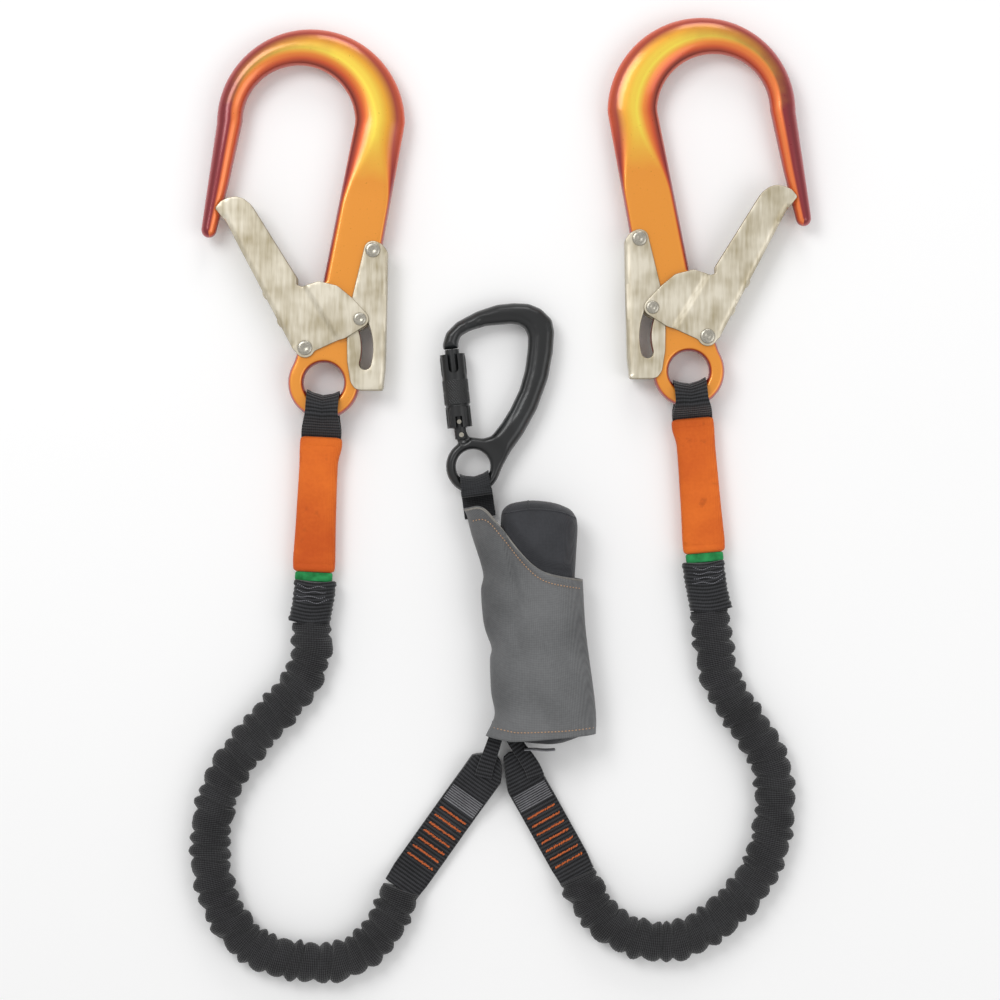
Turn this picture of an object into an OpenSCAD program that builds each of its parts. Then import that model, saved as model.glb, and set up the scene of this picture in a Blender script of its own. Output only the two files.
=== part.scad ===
// Twin-leg shock absorbing lanyard: two scaffold hooks on elastic legs, an energy absorber
// in a cloth pouch, and a twist-lock carabiner.
// The lanyard lies flat: X runs across it, Y from the legs up to the hooks, Z up.

/* [Scaffold hook] */
// Thickness of the flat spine and eye
hook_t = 12; // [10:0.5:14]
// Thickness of the rounded crown
crown_t = 16; // [14:0.5:18]
// Outer radius of the crown bend
crown_outer_r = 60.2; // [58:0.2:62]
// Inner radius of the crown bend
crown_inner_r = 36; // [34:0.5:38]
// Height of the crown's centre above the eye
crown_h = 166; // [150:1:190]
// Outer radius of the eye
eye_outer_r = 23; // [22:0.5:26]
// Radius of the eye's hole
eye_bore_r = 12.8; // [12:0.2:14]
// How much lower each face of the nose lies than the flat spine's
nose_step = 0.5; // [0.5:0.25:2]

/* [Hook gate and lever] */
// Sheet steel thickness of the gate and the lever
sheet_t = 1.5; // [1.2:0.1:1.8]
// Length of the gate from its rivet to the end of its web
gate_len = 98; // [94:0.5:99]
// Distance from the gate rivet to the lock pin
lock_pin_reach = 39.6; // [39:0.1:41]
// Radius of the gate and lever rivets
rivet_r = 3; // [2.5:0.1:3.2]
// Radius of the rivet heads
rivet_head_r = 4.8; // [4:0.1:5.4]
// Radius of the lock pin
lock_pin_r = 2.5; // [2:0.1:3]
// Width of the lever's slot
slot_w = 7.6; // [6.5:0.1:8.2]
// How far the gate opens, in degrees
gate_open = 40; // [20:1:42]
// How far the lever turns while the gate opens, in degrees
lever_turn = 2; // [1:0.25:2.5]

/* [Webbing and handles] */
// Width of the polyester webbing
web_w = 25.5; // [24:0.5:28]
// Thickness of one layer of webbing
web_t = 2.2; // [1.5:0.1:2.6]
// Length of each orange handle sleeve
handle_len = 86.5; // [70:0.5:95]
// Width of the handle sleeve at its top
handle_w = 27; // [26:0.5:32]
// Width of the handle sleeve below its flared top
handle_waist_w = 23.5; // [22:0.5:26]
// Distance from the eye's centre to the end of the cuff
cuff_end = 153.5; // [145:0.5:160]
// Width of the folded cuff
cuff_w = 27.5; // [26:0.5:30]
// Width of the elastic leg
leg_w = 24; // [20:0.5:26]
// Height of the elastic leg as it lies
leg_h = 17; // [14:0.5:20]

/* [Energy absorber] */
// Height of the pouch as it lies
pouch_h = 34; // [30:1:44]
// Thickness of the pouch cloth
pouch_wall = 1.2; // [0.8:0.1:1.6]
// Thickness of the pack's cover
pack_wall = 1.2; // [0.8:0.1:1.6]
// Width of the tear webbing folded inside
tear_w = 42; // [34:1:43]
// Length of one fold of the tear webbing
tear_fold = 112; // [90:1:116]
// Width of the leg straps
leg_strap_w = 25.6; // [24:0.4:28]
// Thickness of the sewn part of a leg strap
leg_strap_t = 5.5; // [4:0.25:6]
// Number of bar tacks on each leg strap
tack_count = 7; // [5:1:8]
// Distance between neighbouring bar tacks
tack_pitch = 6; // [5:0.25:6.5]

/* [Carabiner] */
// Thickness of the forged frame
frame_t = 13; // [11:0.5:14]
// Thickness of the frame's ring
ring_t = 9.2; // [8:0.2:10]
// Outer radius of the ring
ring_outer_r = 17.4; // [16.5:0.1:18.5]
// Radius of the ring's hole
ring_bore_r = 11; // [10.5:0.1:11.5]
// Outer radius of the twist sleeve
sleeve_r = 8; // [7.6:0.1:8.6]
// Length of the twist sleeve
sleeve_len = 47; // [42:0.5:48]
// Radius of the gate inside the sleeve
gate_r = 4.6; // [4:0.1:4.8]

/* [Hidden] */
$fn = 64;

// Running gap between pieces
gap = 0.3;
orange = "#ee8418";
steel = "#cbc3b2";
black = "#1d1d20";
grey = "#6b6c6e";

// Places of the two eyes, the carabiner's ring and their heights above the floor
hook_left_pos = [-116.1, 46.9];
hook_right_pos = [117.1, 54.3];
ring_pos = [-20.7, -6.5];
hook_z = hook_t / 2 + 2 * gap + 2 * sheet_t + 1.2;
ring_z = sleeve_r + 1;
// Lean of each handle about the eye's centre, in degrees
lean_left = -3.1;
lean_right = 5;
// Start of each handle sleeve below the eye's centre
handle_start_left = 34.6;
handle_start_right = 30;

// Faces of the steel sheets, measured from the hook's middle plane
inner_z = hook_t / 2 + gap;
outer_z = inner_z + sheet_t + gap;
head_t = 1.2;
// Depth of the pockets that hold the rivet springs, and how far a pocket is wider than its rivet
pocket_depth = 2 * sheet_t + 1.7;
pocket_room = 3.2;
// Running play of a pin in its hole
pin_play = 0.05;

// Places on a hook, from the eye's centre
gate_pivot = [-11.7, 22.1];
lever_pivot = [31.6, 84.4];
lock_angle = 27.5;
gate_angle = 117.7;
crown_centre = [-8.3, crown_h];
bend_centre = [-16, crown_h + 1];
lock_pos = gate_pivot + lock_pin_reach * [cos(lock_angle), sin(lock_angle)];

function turned(p, a) = [p[0] * cos(a) - p[1] * sin(a), p[0] * sin(a) + p[1] * cos(a)];
function about(p, c, a) = c + turned(p - c, a);
function on_circle(c, r, a) = c + r * [cos(a), sin(a)];
function arc(c, r, from, to, n = 12) = [for (i = [0:n]) on_circle(c, r, from + (to - from) * i / n)];
// A point given along the gate and across it, measured from the gate rivet
function gate_point(along, across) = gate_pivot
    + along * [cos(gate_angle), sin(gate_angle)] + across * [sin(gate_angle), -cos(gate_angle)];

// ---------- shared shapes ----------

// Puts its children on one side: the left hook is the master, the right one its mirror image
module hook_place(side) {
    pos = side == "left" ? hook_left_pos : hook_right_pos;
    translate([pos[0], pos[1], hook_z]) mirror([side == "left" ? 0 : 1, 0, 0]) children();
}

// Puts its children in the frame of a handle: origin at the eye's centre, -Y along the strap
module strap_place(side) {
    pos = side == "left" ? hook_left_pos : hook_right_pos;
    translate([pos[0], pos[1], 0]) rotate(side == "left" ? lean_left : lean_right) children();
}

// A sheet of the given outline between two heights
module plate(low, high) {
    translate([0, 0, low]) linear_extrude(high - low) children();
}

// The same plate on both faces of a hook
module both_faces(low, high) {
    plate(low, high) children();
    plate(-high, -low) children();
}

module rod(pos, r, low, high) {
    translate([pos[0], pos[1], low]) cylinder(r = r, h = high - low);
}

// The point beside a path's corner at the given distance, where the two edges' parallels meet
function beside(points, i, d) =
    let (last = len(points) - 1,
         a = unit(points[max(i, 1)] - points[max(i, 1) - 1]),
         b = unit(points[min(i, last - 1) + 1] - points[min(i, last - 1)]),
         n = [-a[1] - b[1], a[0] + b[0]])
    points[i] + n * 2 * d / (n * n);
function unit(v) = v / norm(v);

// A band of constant width along straight runs with mitred corners
module band(points, w) {
    last = len(points) - 1;
    polygon(concat([for (i = [0:last]) beside(points, i, w / 2)],
        [for (i = [last:-1:0]) beside(points, i, -w / 2)]));
}

// Triangles of a tube whose rings are lists of points, closed at both ends
module ring_tube(rings) {
    sides = len(rings[0]);
    last = len(rings) - 1;
    polyhedron(
        points = [for (ring = rings) each ring],
        faces = [
            [for (k = [sides - 1:-1:0]) k],
            [for (k = [0:sides - 1]) last * sides + k],
            for (i = [0:last - 1], k = [0:sides - 1], upper = [0, 1])
                let (next = (k + 1) % sides, a = i * sides + k, b = i * sides + next,
                     c = (i + 1) * sides + next, d = (i + 1) * sides + k)
                upper ? [a, c, d] : [a, b, c]
        ]
    );
}

// A coil spring about Z: centre line radius, wire radius, turns and height
module coil(r, wire_r, turns, h, sides = 8, steps = 18) {
    count = round(turns * steps);
    rings = [for (i = [0:count]) let (a = 360 * turns * i / count)
        [for (k = [0:sides - 1]) let (b = -360 * k / sides)
            [(r + wire_r * cos(b)) * cos(a), (r + wire_r * cos(b)) * sin(a),
             h * i / count + wire_r * sin(b)]]];
    translate([0, 0, wire_r]) ring_tube(rings);
}

// ---------- scaffold hook ----------

// Half of the stadium section of the crown bar
module crown_section(w, t) {
    for (s = [-1, 1]) translate([s * (w - t) / 2, 0]) circle(d = t);
    square([w - t, t], center = true);
}

module eye_hole() {
    edge = 2.5;
    rotate_extrude() difference() {
        translate([0, -hook_t / 2 - 1]) square([eye_bore_r + edge, hook_t + 2]);
        for (s = [-1, 1]) translate([eye_bore_r + edge, s * (hook_t / 2 - edge)]) circle(r = edge);
        translate([eye_bore_r, -hook_t / 2 + edge]) square([edge + 1, hook_t - 2 * edge]);
    }
}

// Flat part of the hook: neck, spine and the recess in which the lock pin travels
module spine_outline() {
    recess_r = lock_pin_reach - lock_pin_r - 1;
    inner_top = bend_centre + [crown_inner_r, 0];
    outer_top = crown_centre + [crown_outer_r, 0];
    polygon(concat(
        [[-19, 12.5], [-16.8, 20]],
        [[-15.5, 26.5], [-1, 62], [1.3, 73.6], inner_top, outer_top],
        [[37.8, 89], [35.6, 74], [31, 60], [19.5, 48]],
        arc(gate_pivot, recess_r, 34, -18, 8),
        [[20.5, 3]]
    ));
}

module crown_outline() {
    difference() {
        translate(crown_centre) circle(r = crown_outer_r, $fn = 128);
        translate(bend_centre) circle(r = crown_inner_r, $fn = 128);
        translate([-100, crown_h - 100]) square([200, 100]);
    }
}

module nose_outline() {
    end = [-73.6, 97.6];
    end_r = 5;
    outer = crown_centre - [crown_outer_r, 0];
    inner = bend_centre - [crown_inner_r, 0];
    polygon([outer, end - [end_r, 0], end + [end_r, 0], [-60.8, 127.4], inner]);
    translate(end) circle(r = end_r);
}

module hook_body(side) {
    bar_w = crown_outer_r - crown_inner_r - 1;
    bar_r = (crown_outer_r + crown_inner_r) / 2 - 0.5;
    color(orange) hook_place(side) difference() {
        union() {
            plate(-hook_t / 2, hook_t / 2) {
                spine_outline();
                circle(r = eye_outer_r);
            }
            plate(nose_step - hook_t / 2, hook_t / 2 - nose_step) {
                crown_outline();
                nose_outline();
            }
            translate([(crown_centre[0] + bend_centre[0]) / 2, crown_h, 0])
                rotate_extrude(angle = 180, $fn = 128) translate([bar_r, 0]) crown_section(bar_w, crown_t);
        }
        eye_hole();
        for (pivot = [gate_pivot, lever_pivot]) {
            rod(pivot, rivet_r + 2 * pin_play, -hook_t, hook_t);
            rod(pivot, rivet_r + pocket_room, hook_t / 2 - pocket_depth, hook_t);
        }
    }
}

module gate_arm_outline() {
    polygon([
        gate_point(2, -7.3), gate_point(gate_len, -7.3), gate_point(105.5, -9.5), gate_point(107.8, -4),
        gate_point(107, 5), gate_point(102.5, 9.5), gate_point(97, 12), gate_point(42, 16.2),
        gate_point(38, 14), [-13.6, 61], [8.1, 26.2], [-4.6, 19.2]
    ]);
    translate(gate_pivot) circle(r = 6.4);
}

module gate_tail_outline() {
    end_r = 5.6;
    polygon([[-13.6, 61], [-3, 64.6], [9, 61.6], [18.4, 53.9], lock_pos + [4.4, 3.4],
        lock_pos + [3.4, -4.4], [14, 28], [8, 26.2]]);
    translate(lock_pos) circle(r = end_r);
}

// The folded crease where the tail steps outwards over the lever
module gate_step_outline() {
    polygon([[-13.6, 61], [-10.8, 62], [11.6, 27.3], [8, 26.2]]);
}

module gate(side) {
    web_at = -7.3;
    bump = [6, 1.4, 8];
    color(steel) hook_place(side) difference() {
        union() {
            both_faces(inner_z, inner_z + sheet_t) gate_arm_outline();
            both_faces(outer_z, outer_z + sheet_t) gate_tail_outline();
            both_faces(inner_z, outer_z + sheet_t) gate_step_outline();
            plate(-inner_z - sheet_t, inner_z + sheet_t) polygon([
                gate_point(4, web_at), gate_point(gate_len, web_at),
                gate_point(gate_len, web_at + sheet_t), gate_point(4, web_at + sheet_t)]);
            for (along = [22, 42]) translate([gate_point(along, web_at)[0], gate_point(along, web_at)[1], 0])
                rotate(gate_angle) translate([-bump[0] / 2, -0.2, -bump[2] / 2]) cube(bump);
        }
        rod(gate_pivot, rivet_r + pin_play, -hook_t, hook_t);
        rod(lock_pos, lock_pin_r + pin_play, -hook_t, hook_t);
    }
}

// The lock pin's path as the lever sees it while both turn
function slot_point(share) =
    about(about(lock_pos, gate_pivot, -gate_open * share), lever_pivot, lever_turn * share);

module lever_outline() {
    polygon([[26.1, 86], [18.4, 54.4], [16.6, 40], [15, 28], [15.2, 13], [17.3, 0], [20, -4], [22.5, -4.8],
        [37.7, -4.8], [39.4, 8.7], [40.6, 60], [41, 83.6], [37.7, 88]]);
    translate(lever_pivot) circle(r = 6);
}

module lever_web_outline() {
    polygon([[37.7, -4.8], [39.4, 8.7], [40.6, 60], [41, 83.6],
        [41 - sheet_t, 83.6], [40.6 - sheet_t, 60], [39.4 - sheet_t, 8.7], [37.7 - sheet_t, -4.8]]);
}

// A point beside the lock pin's path, at the given distance from it
function slot_side(share, reach) =
    let (run = slot_point(share + 0.01) - slot_point(share - 0.01))
    slot_point(share) + reach * [run[1], -run[0]] / norm(run);

module slot_outline() {
    reach = slot_w / 2;
    extra = 0.06;
    steps = 8;
    polygon(concat(
        [for (i = [0:steps]) slot_side(i / steps, reach)],
        [for (i = [steps:-1:0]) slot_side(i / steps, -reach)]
    ));
    for (share = [0, 1 + extra]) translate(slot_point(share)) circle(r = reach);
}

module lever(side) {
    color(steel) hook_place(side) difference() {
        union() {
            both_faces(inner_z, inner_z + sheet_t) lever_outline();
            plate(-inner_z - sheet_t, inner_z + sheet_t) lever_web_outline();
        }
        plate(-hook_t, hook_t) slot_outline();
        rod(lever_pivot, rivet_r + pin_play, -hook_t, hook_t);
    }
}

// A rivet through both sheets, with a domed head on each side
module rivet(pos, r, head_r, low) {
    rod(pos, r, -low, low);
    for (s = [0, 1]) mirror([0, 0, s]) translate([pos[0], pos[1], low])
        rotate_extrude() polygon([[0, 0], [head_r, 0], [head_r, head_t * 0.4], [head_r * 0.8, head_t], [0, head_t]]);
}

module gate_rivet(side) {
    color(steel) hook_place(side) rivet(gate_pivot, rivet_r, rivet_head_r, inner_z + sheet_t);
}

module lever_rivet(side) {
    color(steel) hook_place(side) rivet(lever_pivot, rivet_r, rivet_head_r, inner_z + sheet_t);
}

module lock_pin(side) {
    color(steel) hook_place(side) rivet(lock_pos, lock_pin_r, rivet_head_r - 0.6, outer_z + sheet_t);
}

// Torsion spring round a rivet, in the pocket of the hook body
module rivet_spring(side, pos) {
    wire_r = 0.5;
    turns = 3;
    color(steel) hook_place(side) translate([pos[0], pos[1], hook_t / 2 - pocket_depth + gap])
        coil(rivet_r + 0.4 + wire_r, wire_r, turns, pocket_depth - 2 * gap - 2 * wire_r);
}

// ---------- webbing, handles and cuffs ----------

// Loop of webbing through a ring, in the strap's frame: the ring's bar lies along X.
// bar: distance of the bar's centre from the ring's centre; near, far: inner radius of the loop at
// its middle and its edges; half_w: half width inside the ring; low: inner depth below the bar;
// half_t: half thickness of the ring; meet: how far below the bar the two layers come together
module ring_loop(bar, near, far, half_w, low, half_t, meet, full_w, tail, tail_low, tail_high, z) {
    outer_r = far + web_t;
    turn = [-half_t - gap, sqrt(far * far - half_t * half_t)];
    translate([0, -bar, z]) difference() {
        intersection() {
            translate([-full_w / 2, 0, 0]) rotate([90, 0, 90]) linear_extrude(full_w) union() {
                intersection() {
                    circle(r = outer_r);
                    translate([0, -low - web_t]) square([2 * outer_r, outer_r + low + web_t]);
                }
                polygon([[0.01, outer_r], turn + [0, web_t], [-meet, tail_high], [-tail, tail_high],
                    [-tail, tail_low], [-meet, tail_low], [0.01, -low - web_t]]);
            }
            plate(-2 * outer_r, 2 * outer_r) polygon([
                [-half_w, outer_r + 1], [half_w, outer_r + 1], [half_w, turn[0] - 1], [full_w / 2, -meet],
                [full_w / 2, -tail - 1], [-full_w / 2, -tail - 1], [-full_w / 2, -meet], [-half_w, turn[0] - 1]]);
        }
        intersection() {
            rotate([0, 90, 0]) rotate_extrude() polygon([[0, -full_w], [far, -full_w], [far, -half_w],
                [near + (far - near) * 0.4, -half_w / 2], [near, 0], [near + (far - near) * 0.4, half_w / 2],
                [far, half_w], [far, full_w], [0, full_w]]);
            translate([-full_w, -2 * far, -low]) cube([2 * full_w, 4 * far, 4 * far]);
        }
        rotate([0, 90, 0]) cylinder(r = low, h = 2 * full_w, center = true);
        translate([-full_w, 0, 0]) rotate([90, 0, 90]) linear_extrude(2 * full_w)
            polygon([[0, far], turn, [-meet + 1, (tail_low + tail_high) / 2], [0, -low]]);
    }
}

hook_bar = (eye_outer_r + eye_bore_r) / 2;
sleeve_wall = 2.6;

module hook_strap(side) {
    start = side == "left" ? handle_start_left : handle_start_right;
    half = hook_t / 2;
    half_w = eye_bore_r - 2.4;
    edge_y = hook_bar - sqrt(eye_bore_r * eye_bore_r - half_w * half_w);
    low = norm([(eye_outer_r - eye_bore_r) / 2, half]) + gap;
    far = norm([edge_y, half]) + gap;
    color(black) strap_place(side) {
        ring_loop(hook_bar, low, far, half_w, low, half, start - hook_bar - 0.5, web_w,
            cuff_end - hook_bar - web_t, strap_z - web_t - hook_z, strap_z + web_t - hook_z, hook_z);
    }
}

// Middle height of the doubled strap inside its handle and cuff
strap_z = leg_h / 2;

// Outline of the handle: flared at its top, straight below
module handle_outline(start) {
    flare = 9;
    top = handle_w / 2;
    waist = handle_waist_w / 2 + 1.5;
    low = web_w / 2 + 1;
    polygon([[-top, -start], [top, -start], [waist, -start - flare], [low, -start - 2 * flare],
        [low, -start - handle_len], [-low, -start - handle_len], [-low, -start - 2 * flare],
        [-waist, -start - flare]]);
}

module handle(side) {
    start = side == "left" ? handle_start_left : handle_start_right;
    color("#e8632a") strap_place(side) difference() {
        plate(strap_z - web_t - gap - sleeve_wall, strap_z + web_t + gap + sleeve_wall) handle_outline(start);
        translate([-web_w / 2 - gap, -start - handle_len - 1, strap_z - web_t - gap])
            cube([web_w + 2 * gap, handle_len + 2, 2 * web_t + 2 * gap]);
    }
}

// Small label sewn in between the handle and the cuff
module label(side) {
    start = side == "left" ? handle_start_left : handle_start_right;
    label_t = 0.6;
    label_len = 5;
    color("#5f9a4a") strap_place(side)
        translate([-web_w / 2, -start - handle_len - label_len - gap, strap_z + web_t])
            cube([web_w, label_len, label_t]);
}

module cuff(side) {
    start = side == "left" ? handle_start_left : handle_start_right;
    top = start + handle_len + 5.6;
    color(black) strap_place(side) difference() {
        translate([-cuff_w / 2, -cuff_end, gap]) cube([cuff_w, cuff_end - top, leg_h - 2 * gap]);
        translate([-web_w / 2 - gap, -cuff_end + web_t - gap, strap_z - web_t - gap])
            cube([web_w + 2 * gap, cuff_end, 2 * web_t + 2 * gap]);
    }
}

// ---------- elastic legs ----------

leg_start_left = hook_left_pos + turned([0, -cuff_end], lean_left);
leg_start_right = hook_right_pos + turned([0, -cuff_end], lean_right);

// Route of the left leg's centre line along the floor, from the cuff to the leg strap
route_left = [
    [-124.2, -113], [-123.8, -121], [-125.8, -131.5], [-129.5, -142], [-135.5, -150.5], [-142, -158],
    [-149, -166.5], [-157.5, -175], [-166, -186], [-174, -196.5], [-180, -207], [-185.5, -221],
    [-188, -235], [-189.3, -249], [-189, -260], [-186.5, -273.5], [-182, -287.5], [-175, -300],
    [-166, -310.5], [-156, -317], [-145, -321], [-134.5, -323], [-124, -324.3], [-110, -324],
    [-99.5, -321], [-86.5, -312.5], [-77, -300], [-70.5, -287]
];
// Route of the right leg's centre line
route_right = [
    [131.2, -106], [132.5, -114], [133.5, -124], [135.5, -134], [139, -145], [143.5, -153.5],
    [149, -162], [154, -169.5], [159, -177], [164, -185], [168, -192.5], [170.8, -201], [172.3, -211.5],
    [172.8, -220], [172.2, -231.5], [170, -245.5], [166, -258.5], [158.5, -272.5], [152, -281],
    [143.5, -289.5], [135, -297], [125, -304], [114.5, -309], [102.5, -311], [89.5, -310], [78, -306.5],
    [67.5, -300.5], [59.5, -293], [52.5, -282.5]
];

// Oval rings along a flat route, each at right angles to the run of its neighbours
function leg_rings(route, first_dir, last_dir, sides) = [for (i = [0:len(route) - 1])
    let (dir = i == 0 ? first_dir : i == len(route) - 1 ? last_dir : route[i + 1] - route[i - 1],
         across = [dir[1], -dir[0]] / norm(dir))
    [for (k = [0:sides - 1]) let (a = 360 * (k + 0.5) / sides, h = leg_h / 2 / cos(180 / sides))
        [route[i][0] + across[0] * leg_w / 2 * cos(a), route[i][1] + across[1] * leg_w / 2 * cos(a),
         leg_h / 2 + h * sin(a)]]];

module elastic_leg(side) {
    left = side == "left";
    first = left ? leg_start_left : leg_start_right;
    last = left ? strap_end_left : strap_end_right;
    route = concat([first], left ? route_left : route_right, [last]);
    first_dir = turned([0, -1], left ? lean_left : lean_right);
    last_dir = turned([0, 1], left ? strap_turn_left : strap_turn_right);
    color("#2b2b2e") ring_tube(leg_rings(route, first_dir, last_dir, 12));
}

// ---------- leg straps ----------

strap_top_left = [-5.8, -191.2];
strap_top_right = [1.9, -189.7];
strap_turn_left = -35.4;
strap_turn_right = 29.1;
strap_len_left = 105.6;
strap_len_right = 90.5;
strap_end_left = strap_top_left + turned([0, -strap_len_left], strap_turn_left);
strap_end_right = strap_top_right + turned([0, -strap_len_right], strap_turn_right);
first_tack_left = 48;
first_tack_right = 43.5;
// Centre line of the absorber's lower loop, a folded webbing that both leg straps run round
loop_line = [[-6.2, -174.5], [-8.2, -181], [-12, -196.5], [-9, -200], [12.5, -200], [15.5, -196.5], [12, -185.4]];
loop_w = 5;
loop_low = 4.4;
loop_high = 10.4;
// The line at which the two leg straps meet
meet_top = [-3.6, -180];
meet_low = [0.6, -225];

module leg_strap(side) {
    left = side == "left";
    top = left ? strap_top_left : strap_top_right;
    len = left ? strap_len_left : strap_len_right;
    low = 0.6;
    head_high = loop_high + gap + web_t;
    s = left ? -1 : 1;
    color(black) difference() {
        intersection() {
            translate([top[0], top[1], 0]) rotate(left ? strap_turn_left : strap_turn_right)
                translate([-leg_strap_w / 2, 0, 0]) rotate([90, 0, 90]) linear_extrude(leg_strap_w)
                    polygon([[0, low + 2], [0, head_high - 2], [-3, head_high], [-22, head_high],
                        [-40, low + leg_strap_t], [-len + 6, low + leg_strap_t], [-len, leg_h - 2], [-len, low],
                        [-3, low]]);
            plate(0, 2 * leg_h) polygon([meet_top + [s * gap / 2, 0], meet_low + [s * gap / 2, 0],
                meet_low + [s * 200, -200], meet_top + [s * 200, 0]]);
            plate(0, 2 * leg_h) translate([-200, -400]) square([400, 400 - (left ? 190 : 188.3)]);
        }
        plate(loop_low - gap, loop_high + gap) band(loop_line, loop_w + 2 * gap);
        plate(-1, head_high + 1) band([loop_line[0], loop_line[1], loop_line[2] + [0, 4]], loop_w + 2 * gap);
        plate(-1, head_high + 1) band([loop_line[5] + [0, 4], loop_line[6]], loop_w + 2 * gap);
    }
}

module bar_tacks(side) {
    left = side == "left";
    top = left ? strap_top_left : strap_top_right;
    first = left ? first_tack_left : first_tack_right;
    tack = [20, 1.5, 0.6];
    color(orange) translate([top[0], top[1], 0.6 + leg_strap_t])
        rotate(left ? strap_turn_left : strap_turn_right)
            for (i = [0:tack_count - 1]) translate([-tack[0] / 2, -first - i * tack_pitch - tack[1] / 2, 0])
                cube(tack);
}

module lower_loop() {
    color(black) plate(loop_low, loop_high) band(loop_line, loop_w);
}

// ---------- energy absorber ----------

// Left and right edges of the pouch from its top to its bottom
pouch_left = [[-26.4, -33.5], [-24, -38], [-21.2, -49.5], [-13.8, -74], [-15, -86], [-13.2, -107], [-8.4, -122],
    [-9.3, -130], [-8.6, -150], [-6.4, -165], [-12.1, -178.4]];
pouch_right = [[57, -177], [57.3, -168], [56, -152], [50.8, -112.5], [49, -84], [48.7, -78.6]];
// The slanting, curved top edge of the pouch
pouch_top = [[28.5, -74.8], [18.2, -70], [8, -60], [-5.2, -43], [-15.5, -32.4]];

module pouch_sleeve() {
    inset = [pouch_wall, 0];
    color(grey) difference() {
        plate(0, pouch_h) polygon(concat(pouch_left, [[-1.2, -180.4], [10.2, -181]], pouch_right, pouch_top));
        plate(pouch_wall, pouch_h - pouch_wall) polygon(concat(
            [[-26.4, -20] + inset],
            [for (p = pouch_left) p + inset],
            [[-12.1, -190] + inset, [57, -190] - inset],
            [for (p = pouch_right) p - inset],
            [[48.7, -20] - inset]
        ));
    }
}

// Upper left corner of the pack, beside which the carabiner strap goes in
pack_corner = [-5.2, -31];
pack_low = pouch_wall + gap;
pack_high = pouch_h - pouch_wall - gap;

// The pack follows the pouch's edges where the pouch covers it, and stands out at its top and bottom
module pack_outline(shrink) {
    side = pouch_wall + gap + shrink;
    polygon([
        pack_corner + [shrink, -shrink], [14.2, -26.5 - shrink], [28.5, -27.6 - shrink],
        [42 - shrink, -32 - shrink], [47.2 - shrink, -41.5 - shrink], [48.7 - side, -78.6], [49 - side, -84],
        [50.8 - side, -112.5], [56 - side, -152], [57.3 - side, -168], [54.5 - side, -178 + shrink],
        [30, -186 + shrink], [8, -183.5 + shrink], [-2 + shrink, -176 + shrink], [-6.4 + side, -165],
        [-8.6 + side, -150], [-9.3 + side, -130], [-8.4 + side, -122], [-9 + side, -107], [-9 + side, -86],
        [-8.4 + side, -74], [-7.4 + side, -55]
    ]);
}

module absorber_cover() {
    color(black) difference() {
        plate(pack_low, pack_high) pack_outline(0);
        plate(pack_low + pack_wall, pack_high - pack_wall) pack_outline(pack_wall);
    }
}

// The tear webbing: folded layers joined by bends at alternate ends
module tear_webbing() {
    low = pack_low + pack_wall + gap;
    room = pack_high - pack_wall - gap - low;
    pitch = web_t + gap;
    layers = floor((room - web_t) / pitch) + 1;
    top = -44;
    color("#d8d8d0") translate([-1, 0, low]) rotate([90, 0, 90]) linear_extrude(tear_w) {
        for (i = [0:layers - 1]) translate([top - tear_fold, i * pitch]) square([tear_fold, web_t]);
        for (i = [0:layers - 2]) translate([i % 2 == 0 ? top - web_t : top - tear_fold, i * pitch])
            square([web_t, pitch + web_t]);
    }
}

module end_tag() {
    color(grey) translate([11.8, -187.5, loop_high + gap]) cube([20, 1.2, 16]);
}

// ---------- carabiner ----------

gate_tilt = 6;
gate_foot = [-8.2, 22.4];
gate_hinge = [-7.4, 20.2];
// The guide pin's radius, its height along the gate and its depth from the gate's axis
guide_pin_r = 1.4;
guide_pin_z = 6.2;
guide_pin_in = 2;
// Width of the fork that carries the gate, the gate pin's radius and the wall of the twist sleeve
fork_w = 5;
gate_pin_r = 1.5;
sleeve_wall_t = 1.6;

// Puts its children on the gate's axis: +Z along the gate from its hinge end
module gate_axis() {
    translate([gate_foot[0], gate_foot[1], 0]) rotate(gate_tilt) rotate([-90, 0, 0]) children();
}

module carabiner_place() {
    translate([ring_pos[0], ring_pos[1], ring_z]) children();
}

module frame_outline() {
    difference() {
        polygon([[-19.2, 74.5], [-19.5, 78], [-17.4, 85.4], [-10.5, 92.4], [2.4, 99.2], [15.2, 103.5], [26.4, 104.6],
            [35.7, 104.1], [43.4, 100.9], [50.4, 94], [52, 86.3], [51.1, 73.5], [47.9, 56.3], [40.8, 36.7],
            [32.3, 21.2], [23.8, 9.2], [19.1, 0.6], [15, -8], [0, 0], [-14, 8], [-12.5, 17.5], [-2.8, 18.6], [6.7, 17.7],
            [11.8, 19.5], [17.8, 27.1], [23.8, 36.7], [29.8, 49.5], [33.2, 61.7], [34.9, 74.5], [35.3, 82.8],
            [33.2, 88.1], [28.9, 90.8], [23.8, 91.3], [8.2, 89.9], [-2, 86.8], [-7.9, 83.5], [-9.6, 79], [-9.2, 75.6]]);
        circle(r = ring_outer_r - 1);
    }
}

module carabiner_frame() {
    color(black) carabiner_place() difference() {
        union() {
            plate(-frame_t / 2, frame_t / 2) frame_outline();
            plate(-ring_t / 2, ring_t / 2) circle(r = ring_outer_r);
            plate(-fork_w / 2, fork_w / 2) {
                translate(gate_hinge) circle(r = 4.2);
                translate(gate_hinge - [4.2, 6]) square([8.4, 6]);
            }
        }
        rod([0, 0], ring_bore_r, -frame_t, frame_t);
        rod(gate_hinge, gate_pin_r + pin_play, -frame_t, frame_t);
        difference() {
            rod(gate_hinge, gate_r + 1.2, -frame_t, frame_t);
            plate(-fork_w / 2, fork_w / 2) square(100, center = true);
        }
    }
}

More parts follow.
